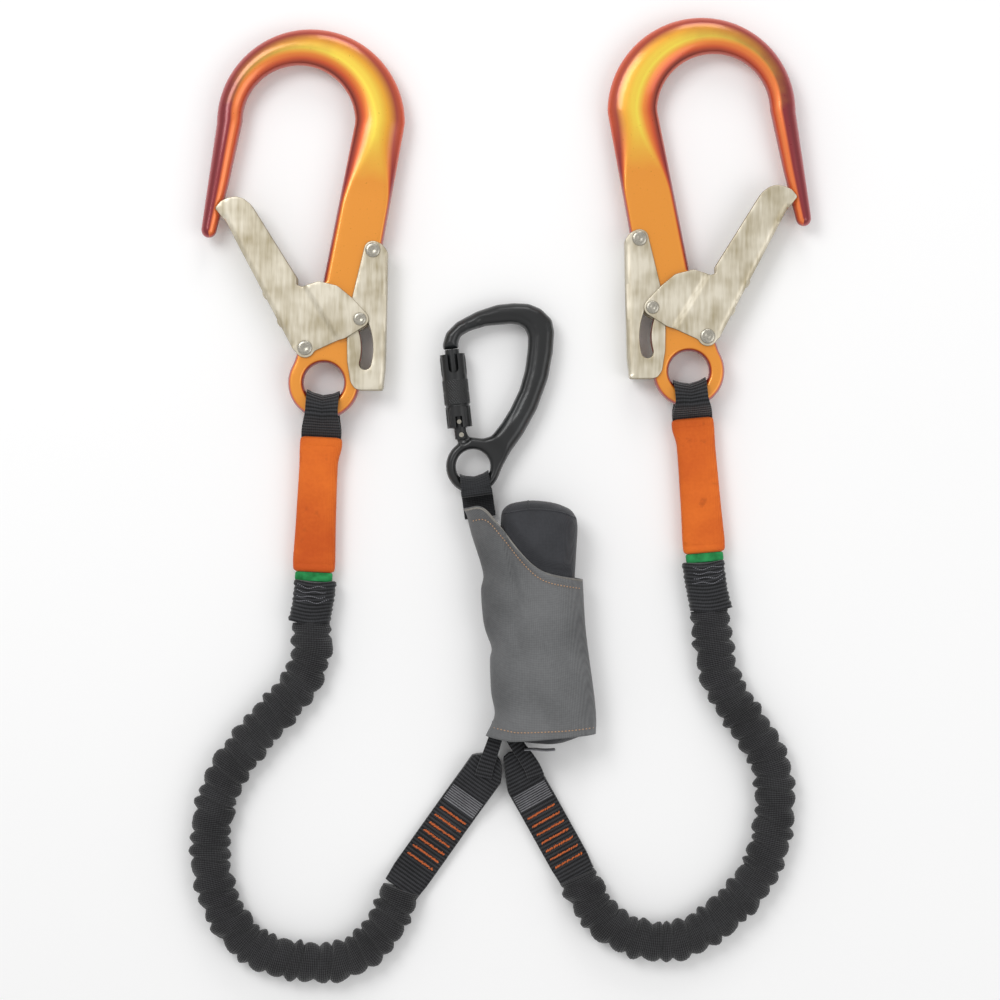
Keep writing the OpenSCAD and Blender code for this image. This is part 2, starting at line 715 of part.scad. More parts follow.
module carabiner_gate() {
    gate_top = 52.6;
    gate_end = -4.8;
    fork = fork_w + 2 * gap;
    color(black) carabiner_place() difference() {
        gate_axis() translate([0, 0, gate_end]) cylinder(r = gate_r, h = gate_top - gate_end);
        rod(gate_hinge, gate_pin_r + pin_play, -20, 20);
        gate_axis() translate([-10, -fork / 2, gate_end - 10]) cube([20, fork, 12.4 + gate_r]);
        gate_axis() translate([0, -guide_pin_in + 0.05, guide_pin_z]) rotate([90, 0, 0])
            cylinder(r = guide_pin_r + 0.05, h = gate_r);
        gate_axis() translate([0, 0, 10]) cylinder(r = 2.2, h = 30);
        gate_axis() translate([0, 0, -1]) cylinder(r = 1.2, h = 12);
    }
}

module gate_pin() {
    color(steel) carabiner_place() rod(gate_hinge, gate_pin_r, -gate_r, gate_r);
}

module gate_plunger() {
    color(steel) carabiner_place() gate_axis() {
        translate([0, 0, 10 + gap]) cylinder(r = 1.9, h = 4);
        translate([0, 0, 3.2]) cylinder(r = 0.9, h = 8);
    }
}

module plunger_spring() {
    color(steel) carabiner_place() gate_axis() translate([0, 0, 14.6]) coil(1.3, 0.35, 7, 23.8, 8, 12);
}

// Cross pin in the gate that shows in the sleeve's lower window
module guide_pin() {
    color(steel) carabiner_place() gate_axis() translate([0, -guide_pin_in, guide_pin_z]) rotate([90, 0, 0])
        cylinder(r = guide_pin_r, h = gate_r - 0.1 - guide_pin_in);
}

module spring_seat() {
    color(steel) carabiner_place() gate_axis() translate([0, 0, 34]) difference() {
        cylinder(r = sleeve_r - sleeve_wall_t - gap, h = 1);
        translate([0, 0, -1]) cylinder(r = gate_r + gap, h = 3);
    }
}

module sleeve_spring() {
    color(steel) carabiner_place() gate_axis() translate([0, 0, 18]) coil(gate_r + 0.75, 0.4, 4, 14.8, 8, 16);
}

module twist_sleeve() {
    base = 2.6;
    seat = 35 + gap;
    chamber = 10;
    slot_r = 3.2;
    slot_len = 9;
    window = [4.4, 6, 8];
    groove_r = 0.8;
    color(black) carabiner_place() gate_axis() translate([0, 0, base]) difference() {
        cylinder(r = sleeve_r, h = sleeve_len);
        translate([0, 0, -1]) cylinder(r = gate_r + gap, h = sleeve_len + 2);
        translate([0, 0, chamber]) cylinder(r = sleeve_r - sleeve_wall_t, h = seat - chamber - base);
        translate([-slot_r, -sleeve_r - 1, sleeve_len - slot_len]) cube([2 * slot_r, 6, slot_len + 3]);
        translate([0, 0, sleeve_len - slot_len]) rotate([90, 0, 0]) cylinder(r = slot_r, h = sleeve_r + 1);
        translate([-window[0] / 2, -sleeve_r - 1, -1]) cube(window);
        for (z = [14, 20, 26]) translate([0, 0, z])
            rotate_extrude() translate([sleeve_r + 0.3, 0]) circle(r = groove_r);
    }
}

module carabiner_strap() {
    half = ring_t / 2;
    bar = (ring_outer_r + ring_bore_r) / 2;
    half_w = ring_bore_r - 1.4;
    full_w = 20;
    edge_y = bar - sqrt(ring_bore_r * ring_bore_r - half_w * half_w);
    low = norm([(ring_outer_r - ring_bore_r) / 2, half]) + gap;
    far = norm([edge_y, half]) + gap;
    wall = [pouch_wall + gap, 0];
    color(black) intersection() {
        translate([ring_pos[0], ring_pos[1], 0]) rotate(8)
            ring_loop(bar, low, far, half_w, low, half, 16, full_w, 34, 2, 2 + 2 * web_t, ring_z);
        plate(-20, 60) polygon([[-60, 20], [30, 20], [30, -28], pack_corner - [gap, -2],
            pack_corner - [gap + 0.8, 22], pouch_left[2] + wall, pouch_left[1] + wall, pouch_left[0] + wall,
            [-60, -30]]);
    }
}

hook_body("left");  // hook_body_left
gate("left");  // gate_left
gate_rivet("left");  // gate_rivet_left
rivet_spring("left", gate_pivot);  // gate_spring_left
lever("left");  // lever_left
lever_rivet("left");  // lever_rivet_left
rivet_spring("left", lever_pivot);  // lever_spring_left
lock_pin("left");  // lock_pin_left
hook_strap("left");  // hook_strap_left
handle("left");  // handle_left
label("left");  // label_left
cuff("left");  // cuff_left
elastic_leg("left");  // elastic_leg_left
leg_strap("left");  // leg_strap_left
bar_tacks("left");  // bar_tacks_left
hook_body("right");  // hook_body_right
gate("right");  // gate_right
gate_rivet("right");  // gate_rivet_right
rivet_spring("right", gate_pivot);  // gate_spring_right
lever("right");  // lever_right
lever_rivet("right");  // lever_rivet_right
rivet_spring("right", lever_pivot);  // lever_spring_right
lock_pin("right");  // lock_pin_right
hook_strap("right");  // hook_strap_right
handle("right");  // handle_right
label("right");  // label_right
cuff("right");  // cuff_right
elastic_leg("right");  // elastic_leg_right
leg_strap("right");  // leg_strap_right
bar_tacks("right");  // bar_tacks_right
carabiner_frame();
carabiner_gate();
gate_pin();
gate_plunger();
plunger_spring();
guide_pin();
spring_seat();
sleeve_spring();
twist_sleeve();
carabiner_strap();
absorber_cover();
tear_webbing();
pouch_sleeve();
lower_loop();
end_tag();
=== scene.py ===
import logging
import math
from dataclasses import dataclass, field
from enum import Enum

import bmesh
import bpy
import numpy as np
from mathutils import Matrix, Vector
from mathutils.kdtree import KDTree
from mathutils.geometry import delaunay_2d_cdt


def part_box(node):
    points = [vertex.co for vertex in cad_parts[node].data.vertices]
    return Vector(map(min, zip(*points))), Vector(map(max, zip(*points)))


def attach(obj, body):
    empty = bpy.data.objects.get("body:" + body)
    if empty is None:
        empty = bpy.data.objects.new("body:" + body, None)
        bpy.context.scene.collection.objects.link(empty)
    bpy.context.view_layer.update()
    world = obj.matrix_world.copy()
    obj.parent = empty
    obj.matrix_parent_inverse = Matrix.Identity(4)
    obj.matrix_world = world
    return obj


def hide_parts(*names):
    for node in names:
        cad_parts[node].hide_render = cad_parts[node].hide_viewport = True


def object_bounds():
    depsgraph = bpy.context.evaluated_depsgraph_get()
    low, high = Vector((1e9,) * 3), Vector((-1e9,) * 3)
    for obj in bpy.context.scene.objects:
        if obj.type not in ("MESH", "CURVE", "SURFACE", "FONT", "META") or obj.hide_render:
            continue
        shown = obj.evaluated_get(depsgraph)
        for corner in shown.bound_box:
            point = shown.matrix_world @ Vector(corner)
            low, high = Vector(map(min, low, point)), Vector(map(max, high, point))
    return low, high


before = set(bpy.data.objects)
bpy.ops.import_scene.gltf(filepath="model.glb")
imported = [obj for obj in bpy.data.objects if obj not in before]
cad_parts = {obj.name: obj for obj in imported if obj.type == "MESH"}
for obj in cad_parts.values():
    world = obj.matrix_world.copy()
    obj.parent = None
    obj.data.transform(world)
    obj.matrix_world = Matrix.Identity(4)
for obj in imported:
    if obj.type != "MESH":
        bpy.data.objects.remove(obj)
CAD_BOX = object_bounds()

log = logging.getLogger("lanyard")
MM = 0.001
SEED = 11


class Side(Enum):
    """The two hooks: the left one is the master, the right one its mirror image."""

    LEFT = "left"
    RIGHT = "right"

    @property
    def sign(self) -> int:
        """1 for the left hook and -1 for its mirror image."""
        return 1 if self is Side.LEFT else -1


# ---------------------------------------------------------------- curves


def circle_run(centre: tuple, radius: float, first: float, last: float, count: int = 24) -> np.ndarray:
    """Points on a circle at equal angles.

    Args:
        centre: the circle's centre, in mm.
        radius: its radius, in mm.
        first: first angle, in degrees.
        last: last angle, in degrees.
        count: number of points.

    Returns:
        An array of (x, y) rows.
    """
    a = np.radians(np.linspace(first, last, count))
    return np.stack([centre[0] + radius * np.cos(a), centre[1] + radius * np.sin(a)], 1)


def turned(points: np.ndarray, degrees: float) -> np.ndarray:
    """The same points turned about the origin in their first two coordinates."""
    points = np.asarray(points, float)
    c, s = math.cos(math.radians(degrees)), math.sin(math.radians(degrees))
    out = points.copy()
    out[..., 0] = c * points[..., 0] - s * points[..., 1]
    out[..., 1] = s * points[..., 0] + c * points[..., 1]
    return out


def even_run(points: np.ndarray, count: int, closed: bool = False) -> np.ndarray:
    """The same line with its points spaced evenly by length.

    Args:
        points: rows of coordinates.
        count: number of points to return.
        closed: True where the line returns to its start.

    Returns:
        An array of count rows.
    """
    points = np.asarray(points, float)
    if closed:
        points = np.vstack([points, points[:1]])
    length = np.concatenate([[0], np.cumsum(np.linalg.norm(np.diff(points, axis=0), axis=1))])
    at = np.linspace(0, length[-1], count, endpoint=not closed)
    return np.stack([np.interp(at, length, points[:, k]) for k in range(points.shape[1])], 1)


def flowing_run(points: np.ndarray, count: int) -> np.ndarray:
    """A smooth line through every point: a Catmull-Rom spline, then evened out by length."""
    points = np.asarray(points, float)
    ends = np.vstack([2 * points[0] - points[1], points, 2 * points[-1] - points[-2]])
    at = np.linspace(0, len(points) - 1 - 1e-9, 12 * len(points))
    i, t = at.astype(int), (at % 1)[:, None]
    a, b, c, d = (ends[i + k] for k in range(4))
    run = 0.5 * (2 * b + (c - a) * t + (2 * a - 5 * b + 4 * c - d) * t**2 + (3 * b - a - 3 * c + d) * t**3)
    return even_run(run, count)


def soft_loop(points: np.ndarray, pitch: float = 0.9, rounds: int = 6) -> np.ndarray:
    """A closed outline with even points and eased corners.

    Each round moves every point to a quarter, a half and a quarter of its neighbours and itself.

    Args:
        points: corner points, in mm.
        pitch: spacing of the result, in mm.
        rounds: how often the corners are eased.

    Returns:
        The outline, anticlockwise.
    """
    points = np.asarray(points, float)
    length = np.linalg.norm(np.diff(np.vstack([points, points[:1]]), axis=0), axis=1).sum()
    loop = even_run(points, max(24, int(length / pitch)), closed=True)
    for _ in range(rounds):
        loop = 0.25 * np.roll(loop, 1, 0) + 0.5 * loop + 0.25 * np.roll(loop, -1, 0)
    x, y = loop[:, 0], loop[:, 1]
    area = np.sum(x * np.roll(y, -1) - y * np.roll(x, -1))
    return loop if area > 0 else loop[::-1]


def ease(value: np.ndarray, low: float, high: float) -> np.ndarray:
    """0 below low, 1 above high, and a smooth step between."""
    t = np.clip((np.asarray(value, float) - low) / (high - low), 0, 1)
    return t * t * (3 - 2 * t)


def ripple(at: np.ndarray, seed: int, waves: int = 5, lowest: float = 1.0) -> np.ndarray:
    """A smooth random line from -1 to 1: a sum of sines with seeded phases.

    Args:
        at: where to read it.
        seed: which line.
        waves: number of sines.
        lowest: the slowest sine's turns per unit of at.

    Returns:
        An array like at.
    """
    source = np.random.default_rng(seed)
    rates = lowest * (1 + np.arange(waves) * source.uniform(0.7, 1.4, waves))
    phases = source.uniform(0, 2 * math.pi, waves)
    total = np.sin(2 * math.pi * np.asarray(at)[..., None] * rates + phases)
    return total.sum(-1) / waves


# ---------------------------------------------------------------- meshes


@dataclass
class Patch:
    """One surface of a piece: its points in metres, its faces, and what goes with them."""

    verts: np.ndarray
    faces: list
    uvs: np.ndarray
    notes: dict = field(default_factory=dict)


def grid_patch(points: np.ndarray, wrap_u: bool = False, wrap_v: bool = False, caps: bool = False,
               notes: dict | None = None) -> Patch:
    """A surface of two parameters on a grid.

    The UV map holds the lengths along both parameters, in metres.

    Args:
        points: (n, m, 3) points in metres: the first parameter runs along, the second across.
        wrap_u: the surface closes along its first parameter.
        wrap_v: the surface closes along its second parameter.
        caps: close both ends of a tube with a face.
        notes: named values for each point, kept as attributes.

    Returns:
        The patch.
    """
    nu, nv = points.shape[:2]
    along = np.linalg.norm(np.diff(np.concatenate([points, points[:1]]), axis=0), axis=2).mean(1)
    across = np.linalg.norm(np.diff(np.concatenate([points, points[:, :1]], 1), axis=1), axis=2).mean(0)
    u = np.concatenate([[0], np.cumsum(along)])
    v = np.concatenate([[0], np.cumsum(across)])
    i, j = np.meshgrid(np.arange(nu - (not wrap_u)), np.arange(nv - (not wrap_v)), indexing="ij")
    corners = ((0, 0), (1, 0), (1, 1), (0, 1))
    quads = np.stack([((i + a) % nu) * nv + (j + b) % nv for a, b in corners], -1).reshape(-1, 4)
    uvs = np.stack([np.stack([u[i + a], v[j + b]], -1) for a, b in corners], 2).reshape(-1, 2)
    faces = quads.tolist()
    if caps:
        faces += [list(range(nv))[::-1], [(nu - 1) * nv + k for k in range(nv)]]
        uvs = np.vstack([uvs, np.zeros((2 * nv, 2))])
    return Patch(points.reshape(-1, 3), faces, uvs, {k: np.asarray(n).ravel() for k, n in (notes or {}).items()})


def lathe_patch(profile: np.ndarray, centre: tuple, count: int = 32) -> Patch:
    """A solid of revolution about the vertical line through centre: each (radius, height) goes round."""
    a = np.linspace(0, 2 * math.pi, count, endpoint=False)
    profile = np.asarray(profile, float)
    r, z = profile[:, :1], profile[:, 1:]
    points = np.stack([centre[0] + r * np.cos(a), centre[1] + r * np.sin(a), centre[2] + z + 0 * a], -1)
    return grid_patch(points * MM, wrap_v=True, caps=True)


def band_section(count: int, width: np.ndarray, height: np.ndarray, power: float = 4.0) -> np.ndarray:
    """Sections of a strap or bar: |x / half width|^power + |z / half height|^power = 1.

    Args:
        count: points round the section.
        width: width at each station.
        height: height at each station.
        power: 2 is an ellipse, and more is squarer.

    Returns:
        (stations, count, 2) offsets across and up.
    """
    a = np.linspace(0, 2 * math.pi, count, endpoint=False)
    c, s = np.cos(a), np.sin(a)
    x, z = np.sign(c) * np.abs(c) ** (2 / power), np.sign(s) * np.abs(s) ** (2 / power)
    half_w, half_h = np.atleast_1d(width)[:, None] / 2, np.atleast_1d(height)[:, None] / 2
    return np.stack([half_w * x, half_h * z], -1)


def carry(path: np.ndarray, offsets: np.ndarray, across: np.ndarray | None = None) -> np.ndarray:
    """A section carried along a path: point + across * first offset + normal * second offset.

    Args:
        path: (n, 3) stations.
        offsets: (n, m, 2) offsets at each station.
        across: one direction for the sections' first axis; None keeps it level, at right angles to the path.

    Returns:
        (n, m, 3) points.
    """
    run = np.gradient(path, axis=0)
    run /= np.linalg.norm(run, axis=1)[:, None]
    if across is None:
        side = np.stack([run[:, 1], -run[:, 0], 0 * run[:, 0]], 1)
        side /= np.linalg.norm(side, axis=1)[:, None]
    else:
        side = np.tile(np.asarray(across, float), (len(path), 1))
    up = np.cross(side, run)
    return path[:, None] + side[:, None] * offsets[..., :1] + up[:, None] * offsets[..., 1:]


def rim_distance(points: np.ndarray, loops: list) -> tuple:
    """Distance of each point from the nearest outline, and the number of the nearest stretch."""
    a = np.vstack(loops)
    b = np.vstack([np.roll(loop, -1, 0) for loop in loops])
    run = b - a
    near, which = [], []
    for part in np.array_split(points, max(1, len(points) // 3000)):
        t = ((part[:, None] - a) * run).sum(2) / (run * run).sum(1)
        gap = np.linalg.norm(part[:, None] - a - np.clip(t, 0, 1)[..., None] * run, axis=2)
        which.append(gap.argmin(1))
        near.append(gap.min(1))
    return np.concatenate(near), np.concatenate(which)


def is_inside(points: np.ndarray, loops: list) -> np.ndarray:
    """Even-odd test: True for points within the outline and outside its holes."""
    a = np.vstack(loops)
    b = np.vstack([np.roll(loop, -1, 0) for loop in loops])
    inside = []
    for part in np.array_split(points, max(1, len(points) // 3000)):
        x, y = part[:, :1], part[:, 1:]
        spans = (a[:, 1] > y) != (b[:, 1] > y)
        rise = np.where(b[:, 1] == a[:, 1], 1e-9, b[:, 1] - a[:, 1])
        cut = a[:, 0] + (y - a[:, 1]) * (b[:, 0] - a[:, 0]) / rise
        inside.append((spans & (x < cut)).sum(1) % 2 == 1)
    return np.concatenate(inside)


def rolled_plate(loops: list, half, edge, lift=0.0, pitch: float = 2.5, rings: int = 6) -> Patch:
    """A plate or bar with rolled edges, as a height over its outline.

    The height is half * sqrt(1 - (1 - d / edge)^2), with d the distance from the outline, up to
    d = edge, and flat from there; it is mirrored below, and both are raised by lift.

    Args:
        loops: the outline and its holes, in mm.
        half: half thickness, a number or a function of the points.
        edge: width of the rolled edge, a number or a function of the points.
        lift: height of the middle, a number or a function of the points.
        pitch: spacing of the points inside, in mm.
        rings: rows of points over the rolled edge.

    Returns:
        The patch, with the notes rim (1 at the outline), and stretch (number of the nearest one).
    """
    def value(source, at: np.ndarray) -> np.ndarray:
        """The source at each point, whether it is a number or a function."""
        return source(at) if callable(source) else np.full(len(at), float(source))

    rim = np.vstack(loops)
    inward = []
    for k, loop in enumerate(loops):
        run = np.roll(loop, -1, 0) - np.roll(loop, 1, 0)
        normal = np.stack([-run[:, 1], run[:, 0]], 1) / np.linalg.norm(run, axis=1)[:, None]
        inward.append(normal if k == 0 else -normal)
    inward = np.vstack(inward)
    wide = value(edge, rim)
    rows = [rim]
    for k in range(1, rings + 1):
        deep = wide * (1 - math.cos(math.pi / 2 * k / rings))
        row = rim + inward * deep[:, None]
        rows.append(row[(rim_distance(row, loops)[0] > 0.97 * deep) & is_inside(row, loops)])
    low, high = rim.min(0), rim.max(0)
    gx, gy = np.meshgrid(np.arange(low[0], high[0], pitch), np.arange(low[1], high[1], pitch))
    net = np.stack([gx.ravel(), gy.ravel()], 1)
    net = net[is_inside(net, loops)]
    net = net[rim_distance(net, loops)[0] > value(edge, net) + 0.4 * pitch]
    points = np.vstack(rows + [net])
    starts = np.cumsum([0] + [len(loop) for loop in loops])
    edges = [(s + i, s + (i + 1) % len(loop)) for s, loop in zip(starts, loops) for i in range(len(loop))]
    verts, _, faces = delaunay_2d_cdt([Vector(p) for p in points.tolist()], edges, [], 0, 1e-5)[:3]
    verts, faces = np.array([tuple(v) for v in verts]), np.array(faces)
    faces = faces[is_inside(verts[faces].mean(1), loops)]
    distance, stretch = rim_distance(verts, loops)
    distance[distance < 1e-4] = 0
    share = np.clip(distance / value(edge, verts), 0, 1)
    rise = value(half, verts) * np.sqrt(1 - (1 - share) ** 2)
    middle = value(lift, verts)
    count = len(verts)
    low_side = np.where(distance > 0, np.arange(count) + count, np.arange(count))
    solid = np.vstack([np.column_stack([verts, middle + rise]), np.column_stack([verts, middle - rise])])
    everything = np.vstack([faces, low_side[faces][:, ::-1]])
    notes = {"rim": np.tile(1 - share, 2), "stretch": np.tile(stretch, 2).astype(float)}
    return Patch(solid * MM, everything.tolist(), solid[everything.ravel(), :2] * MM, notes)


def moved(patch: Patch, place) -> Patch:
    """The same patch with its points, given in mm, put through a place function."""
    return Patch(place(patch.verts / MM) * MM, patch.faces, patch.uvs, patch.notes)


def make_piece(name: str, patches: list, finish: bpy.types.Material, body: str, stands_for: tuple = (),
               sharp: float = 50.0) -> bpy.types.Object:
    """One named object out of patches, welded, its faces outwards, riding on its body.

    Args:
        name: the piece's name.
        patches: its surfaces.
        finish: its material.
        body: the CAD body that it moves with.
        stands_for: CAD nodes that it replaces.
        sharp: edges that turn by more degrees than this stay crisp.

    Returns:
        The object.
    """
    faces, uvs, base = [], [], 0
    for patch in patches:
        faces += [[base + k for k in face] for face in patch.faces]
        base += len(patch.verts)
    mesh = bpy.data.meshes.new(name)
    mesh.from_pydata(np.vstack([p.verts for p in patches]).tolist(), [], faces)
    uvs = np.vstack([p.uvs for p in patches])
    mesh.uv_layers.new(name="Lay").data.foreach_set("uv", uvs.astype(np.float32).ravel())
    for note in sorted({key for p in patches for key in p.notes}):
        values = np.concatenate([p.notes.get(note, np.zeros(len(p.verts))) for p in patches])
        mesh.attributes.new(note, "FLOAT", "POINT").data.foreach_set("value", values.astype(np.float32))
    shape = bmesh.new()
    shape.from_mesh(mesh)
    loose = [v for v in shape.verts if not v.link_faces]
    bmesh.ops.delete(shape, geom=loose, context="VERTS")
    bmesh.ops.remove_doubles(shape, verts=shape.verts, dist=1e-6)
    bmesh.ops.recalc_face_normals(shape, faces=shape.faces)
    shape.to_mesh(mesh)
    shape.free()
    mesh.shade_smooth()
    mesh.set_sharp_from_angle(angle=math.radians(sharp))
    mesh.materials.append(finish)
    piece = bpy.data.objects.new(name, mesh)
    bpy.context.scene.collection.objects.link(piece)
    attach(piece, body)
    if stands_for:
        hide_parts(*stands_for)
    log.info("%s: %d faces on %s", name, len(mesh.polygons), body)
    return piece


def dress_node(node: str, finish: bpy.types.Material) -> None:
    """A CAD node whose shape is right keeps it, and gets its finish."""
    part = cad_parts[node]
    part.data.materials.clear()
    part.data.materials.append(finish)
    log.info("%s: CAD shape with %s", node, finish.name)

# ---------------------------------------------------------------- finishes


def shade(code: str) -> tuple:
    """A colour written as six hex digits, in the linear values that a shader takes."""
    parts = [int(code[k : k + 2], 16) / 255 for k in (0, 2, 4)]
    return tuple(c / 12.92 if c < 0.04045 else ((c + 0.055) / 1.055) ** 2.4 for c in parts) + (1.0,)


class Value:
    """A shader socket that takes part in Python expressions: each operator adds a Math node."""

    def __init__(self, tree: "Tree", socket: bpy.types.NodeSocket) -> None:
        """Wraps one output socket."""
        self.tree, self.socket = tree, socket

    def __add__(self, other) -> "Value":
        """self + other."""
        return self.tree.maths("ADD", self, other)

    def __radd__(self, other) -> "Value":
        """other + self."""
        return self.tree.maths("ADD", other, self)

    def __sub__(self, other) -> "Value":
        """self - other."""
        return self.tree.maths("SUBTRACT", self, other)

    def __rsub__(self, other) -> "Value":
        """other - self."""
        return self.tree.maths("SUBTRACT", other, self)

    def __mul__(self, other) -> "Value":
        """self * other."""
        return self.tree.maths("MULTIPLY", self, other)

    def __rmul__(self, other) -> "Value":
        """other * self."""
        return self.tree.maths("MULTIPLY", other, self)

    def __pow__(self, other) -> "Value":
        """self to the power other."""
        return self.tree.maths("POWER", self, other)

    def __rpow__(self, other) -> "Value":
        """other to the power self."""
        return self.tree.maths("POWER", other, self)


class Tree:
    """The nodes of one material, round one principled shader."""

    def __init__(self, name: str, **constants) -> None:
        """Makes the material and sets the shader's constant sockets, with _ for spaces in their names."""
        self.material = bpy.data.materials.new(name)
        self.material.use_nodes = True
        self.nodes = self.material.node_tree.nodes
        self.shader = self.nodes["Principled BSDF"]
        for key, value in constants.items():
            self.shader.inputs[key.replace("_", " ")].default_value = value

    def join(self, socket: bpy.types.NodeSocket, source) -> None:
        """Links a Value to a socket, or writes a constant into it."""
        if isinstance(source, Value):
            self.material.node_tree.links.new(source.socket, socket)
        else:
            socket.default_value = source

    def node(self, kind: str, settings: dict | None = None, inputs: dict | None = None) -> bpy.types.Node:
        """Any node.

        Args:
            kind: the node's type.
            settings: its settings, set first; stops are a colour ramp's (place, colour) pairs.
            inputs: values or links of its sockets, by name or number.

        Returns:
            The node.
        """
        made = self.nodes.new(kind)
        for key, value in (settings or {}).items():
            if key == "stops":
                ramp = made.color_ramp
                while len(ramp.elements) < len(value):
                    ramp.elements.new(0.5)
                for element, (place, colour) in zip(ramp.elements, value):
                    element.position, element.color = place, colour
            else:
                setattr(made, key, value)
        for key, value in (inputs or {}).items():
            self.join(made.inputs[key], value)
        return made

    def maths(self, operation: str, a, b=0.0) -> Value:
        """One Math node on two values."""
        return Value(self, self.node("ShaderNodeMath", {"operation": operation}, {0: a, 1: b}).outputs[0])

    def place(self) -> Value:
        """Object coordinates, in metres."""
        return Value(self, self.node("ShaderNodeTexCoord").outputs["Object"])

    def lay(self) -> tuple:
        """The two lengths of the piece's own UV map: along it and across it, in metres."""
        source = self.node("ShaderNodeUVMap", {"uv_map": "Lay"}).outputs[0]
        split = self.node("ShaderNodeSeparateXYZ", None, {0: Value(self, source)})
        return Value(self, split.outputs[0]), Value(self, split.outputs[1])

    def note(self, name: str) -> Value:
        """A named value of the mesh."""
        return Value(self, self.node("ShaderNodeAttribute", {"attribute_name": name}).outputs["Fac"])

    def noise(self, scale: float, detail: float = 3.0, stretch: tuple = (1, 1, 1)) -> Value:
        """Noise on object coordinates, stretched by a factor along each axis."""
        at = self.node("ShaderNodeMapping", None, {"Vector": self.place(), "Scale": stretch}).outputs[0]
        made = self.node("ShaderNodeTexNoise", None, {"Vector": Value(self, at), "Scale": scale, "Detail": detail})
        return Value(self, made.outputs[0])

    def wave(self, at: Value, pitch: float) -> Value:
        """A smooth stripe from 0 to 1 that repeats every pitch metres of at."""
        return self.maths("SINE", at * (2 * math.pi / pitch)) * 0.5 + 0.5

    def blend(self, share, first, second) -> Value:
        """A colour between two colours."""
        made = self.node("ShaderNodeMix", {"data_type": "RGBA"}, {0: share, 6: first, 7: second})
        return Value(self, made.outputs[2])

    def ramp(self, at: Value, stops: list) -> Value:
        """A colour read from stops of place and colour."""
        return Value(self, self.node("ShaderNodeValToRGB", {"stops": stops}, {0: at}).outputs[0])

    def steps(self, at: Value, low: float, high: float) -> Value:
        """0 below low and 1 above high."""
        made = self.node("ShaderNodeMapRange", {"clamp": True}, {0: at, 1: low, 2: high})
        return Value(self, made.outputs[0])

    def finish(self, colour=None, roughness=None, height: Value | None = None, depth: float = 0.0002,
               metallic=None) -> bpy.types.Material:
        """Joins what varies to the shader.

        Args:
            colour: base colour.
            roughness: roughness.
            height: height for a bump, from 0 to 1.
            depth: the bump's depth, in metres.
            metallic: metallic share.

        Returns:
            The material.
        """
        for name, source in (("Base Color", colour), ("Roughness", roughness), ("Metallic", metallic)):
            if source is not None:
                self.join(self.shader.inputs[name], source)
        if height is not None:
            bump = self.node("ShaderNodeBump", None, {"Height": height, "Distance": depth, "Strength": 1.0})
            self.join(self.shader.inputs["Normal"], Value(self, bump.outputs[0]))
        return self.material


@dataclass(frozen=True)
class AnodisedOrange:
    """Forged alloy anodised orange, with painted reflection and shade: deeper red over its rolled edges and towards
    the nose, and a painted yellow highlight along the crown.
    """

    name: str = "hook_alloy"
    # face is the alloy's own orange; the colours after it are painted light: a half shade and a deeper red of shade
    # and reflection for the edges and nose, and a yellow highlight for the crown.
    face: str = "EE972A"
    warm: str = "D8521F"
    deep: str = "8E1F26"
    painted_highlight: str = "FBE04A"

    def make(self) -> bpy.types.Material:
        """Builds the finish: painted highlight, reflection and shade follow the notes across, rim and way of the
        forging, over the alloy's own orange.
        """
        t = Tree(self.name, Metallic=0.35, Coat_Weight=0.6, Coat_Roughness=0.12, Specular_IOR_Level=0.6)
        rim, across, way = t.note("rim"), t.note("across"), t.note("way")
        # Painted shade and reflection: the spine's rolled edges turn deeper red towards the outline.
        spine = t.ramp(rim, [(0.0, shade(self.face)), (0.28, shade(self.face)), (0.5, shade(self.warm)),
                             (0.72, shade(self.deep)), (0.9, shade(self.deep)), (1.0, shade(self.warm))])
        # Painted highlight and reflection across the crown: a yellow highlight near the middle, dark red reflections
        # near both edges.
        crown = t.ramp(across * 0.5 + 0.5, [
            (0.0, shade(self.warm)), (0.07, shade("7A2417")), (0.18, shade(self.warm)), (0.3, shade("F08A2A")),
            (0.44, shade(self.painted_highlight)), (0.66, shade("EFA927")), (0.84, shade("A8402A")), (1.0, shade(self.warm))])
        # Painted reflection and shade across the nose: a light orange stripe on the inner side, dark crimson over the
        # outer half.
        nose = t.ramp(across * 0.5 + 0.5, [
            (0.0, shade(self.deep)), (0.12, shade(self.warm)), (0.24, shade("F5813A")), (0.36, shade("EE7430")),
            (0.46, shade(self.deep)), (0.7, shade("7A1A24")), (0.86, shade(self.deep)), (1.0, shade("B02C34"))])
        cloud = t.noise(60.0) * 0.12
        colour = t.blend(t.steps(way + cloud, 0.33, 0.56), nose, crown)
        colour = t.blend(t.steps(way + cloud * 0.5, 0.70, 0.86), colour, spine)
        return t.finish(colour, t.noise(900.0, 2.0) * 0.12 + 0.24, t.noise(1500.0, 2.0), 0.00002)


@dataclass(frozen=True)
class PlatedSheet:
    """Formed sheet steel with a warm zinc nickel plating: rolling lines, random lighter and darker tone, and painted
    shade that darkens its rolled edges.
    """

    name: str = "sheet_steel"
    light: str = "E6DECB"
    dark: str = "A89B7C"

    def make(self) -> bpy.types.Material:
        """Builds the finish."""
        t = Tree(self.name, Metallic=0.45, Specular_IOR_Level=0.5)
        cloud = t.noise(55.0, 2.0)
        lines = t.noise(420.0, 3.0, (1, 0.12, 1))
        colour = t.blend(t.steps(cloud * 0.6 + lines * 0.4, 0.38, 0.68), shade(self.light), shade(self.dark))
        # Painted shade: the colour goes darker over the rolled edge towards the outline.
        rim_painted_shade = t.blend(t.steps(t.note("rim"), 0.35, 0.9), colour, shade("8C8168"))
        return t.finish(rim_painted_shade, lines * 0.15 + 0.3, lines, 0.00002)


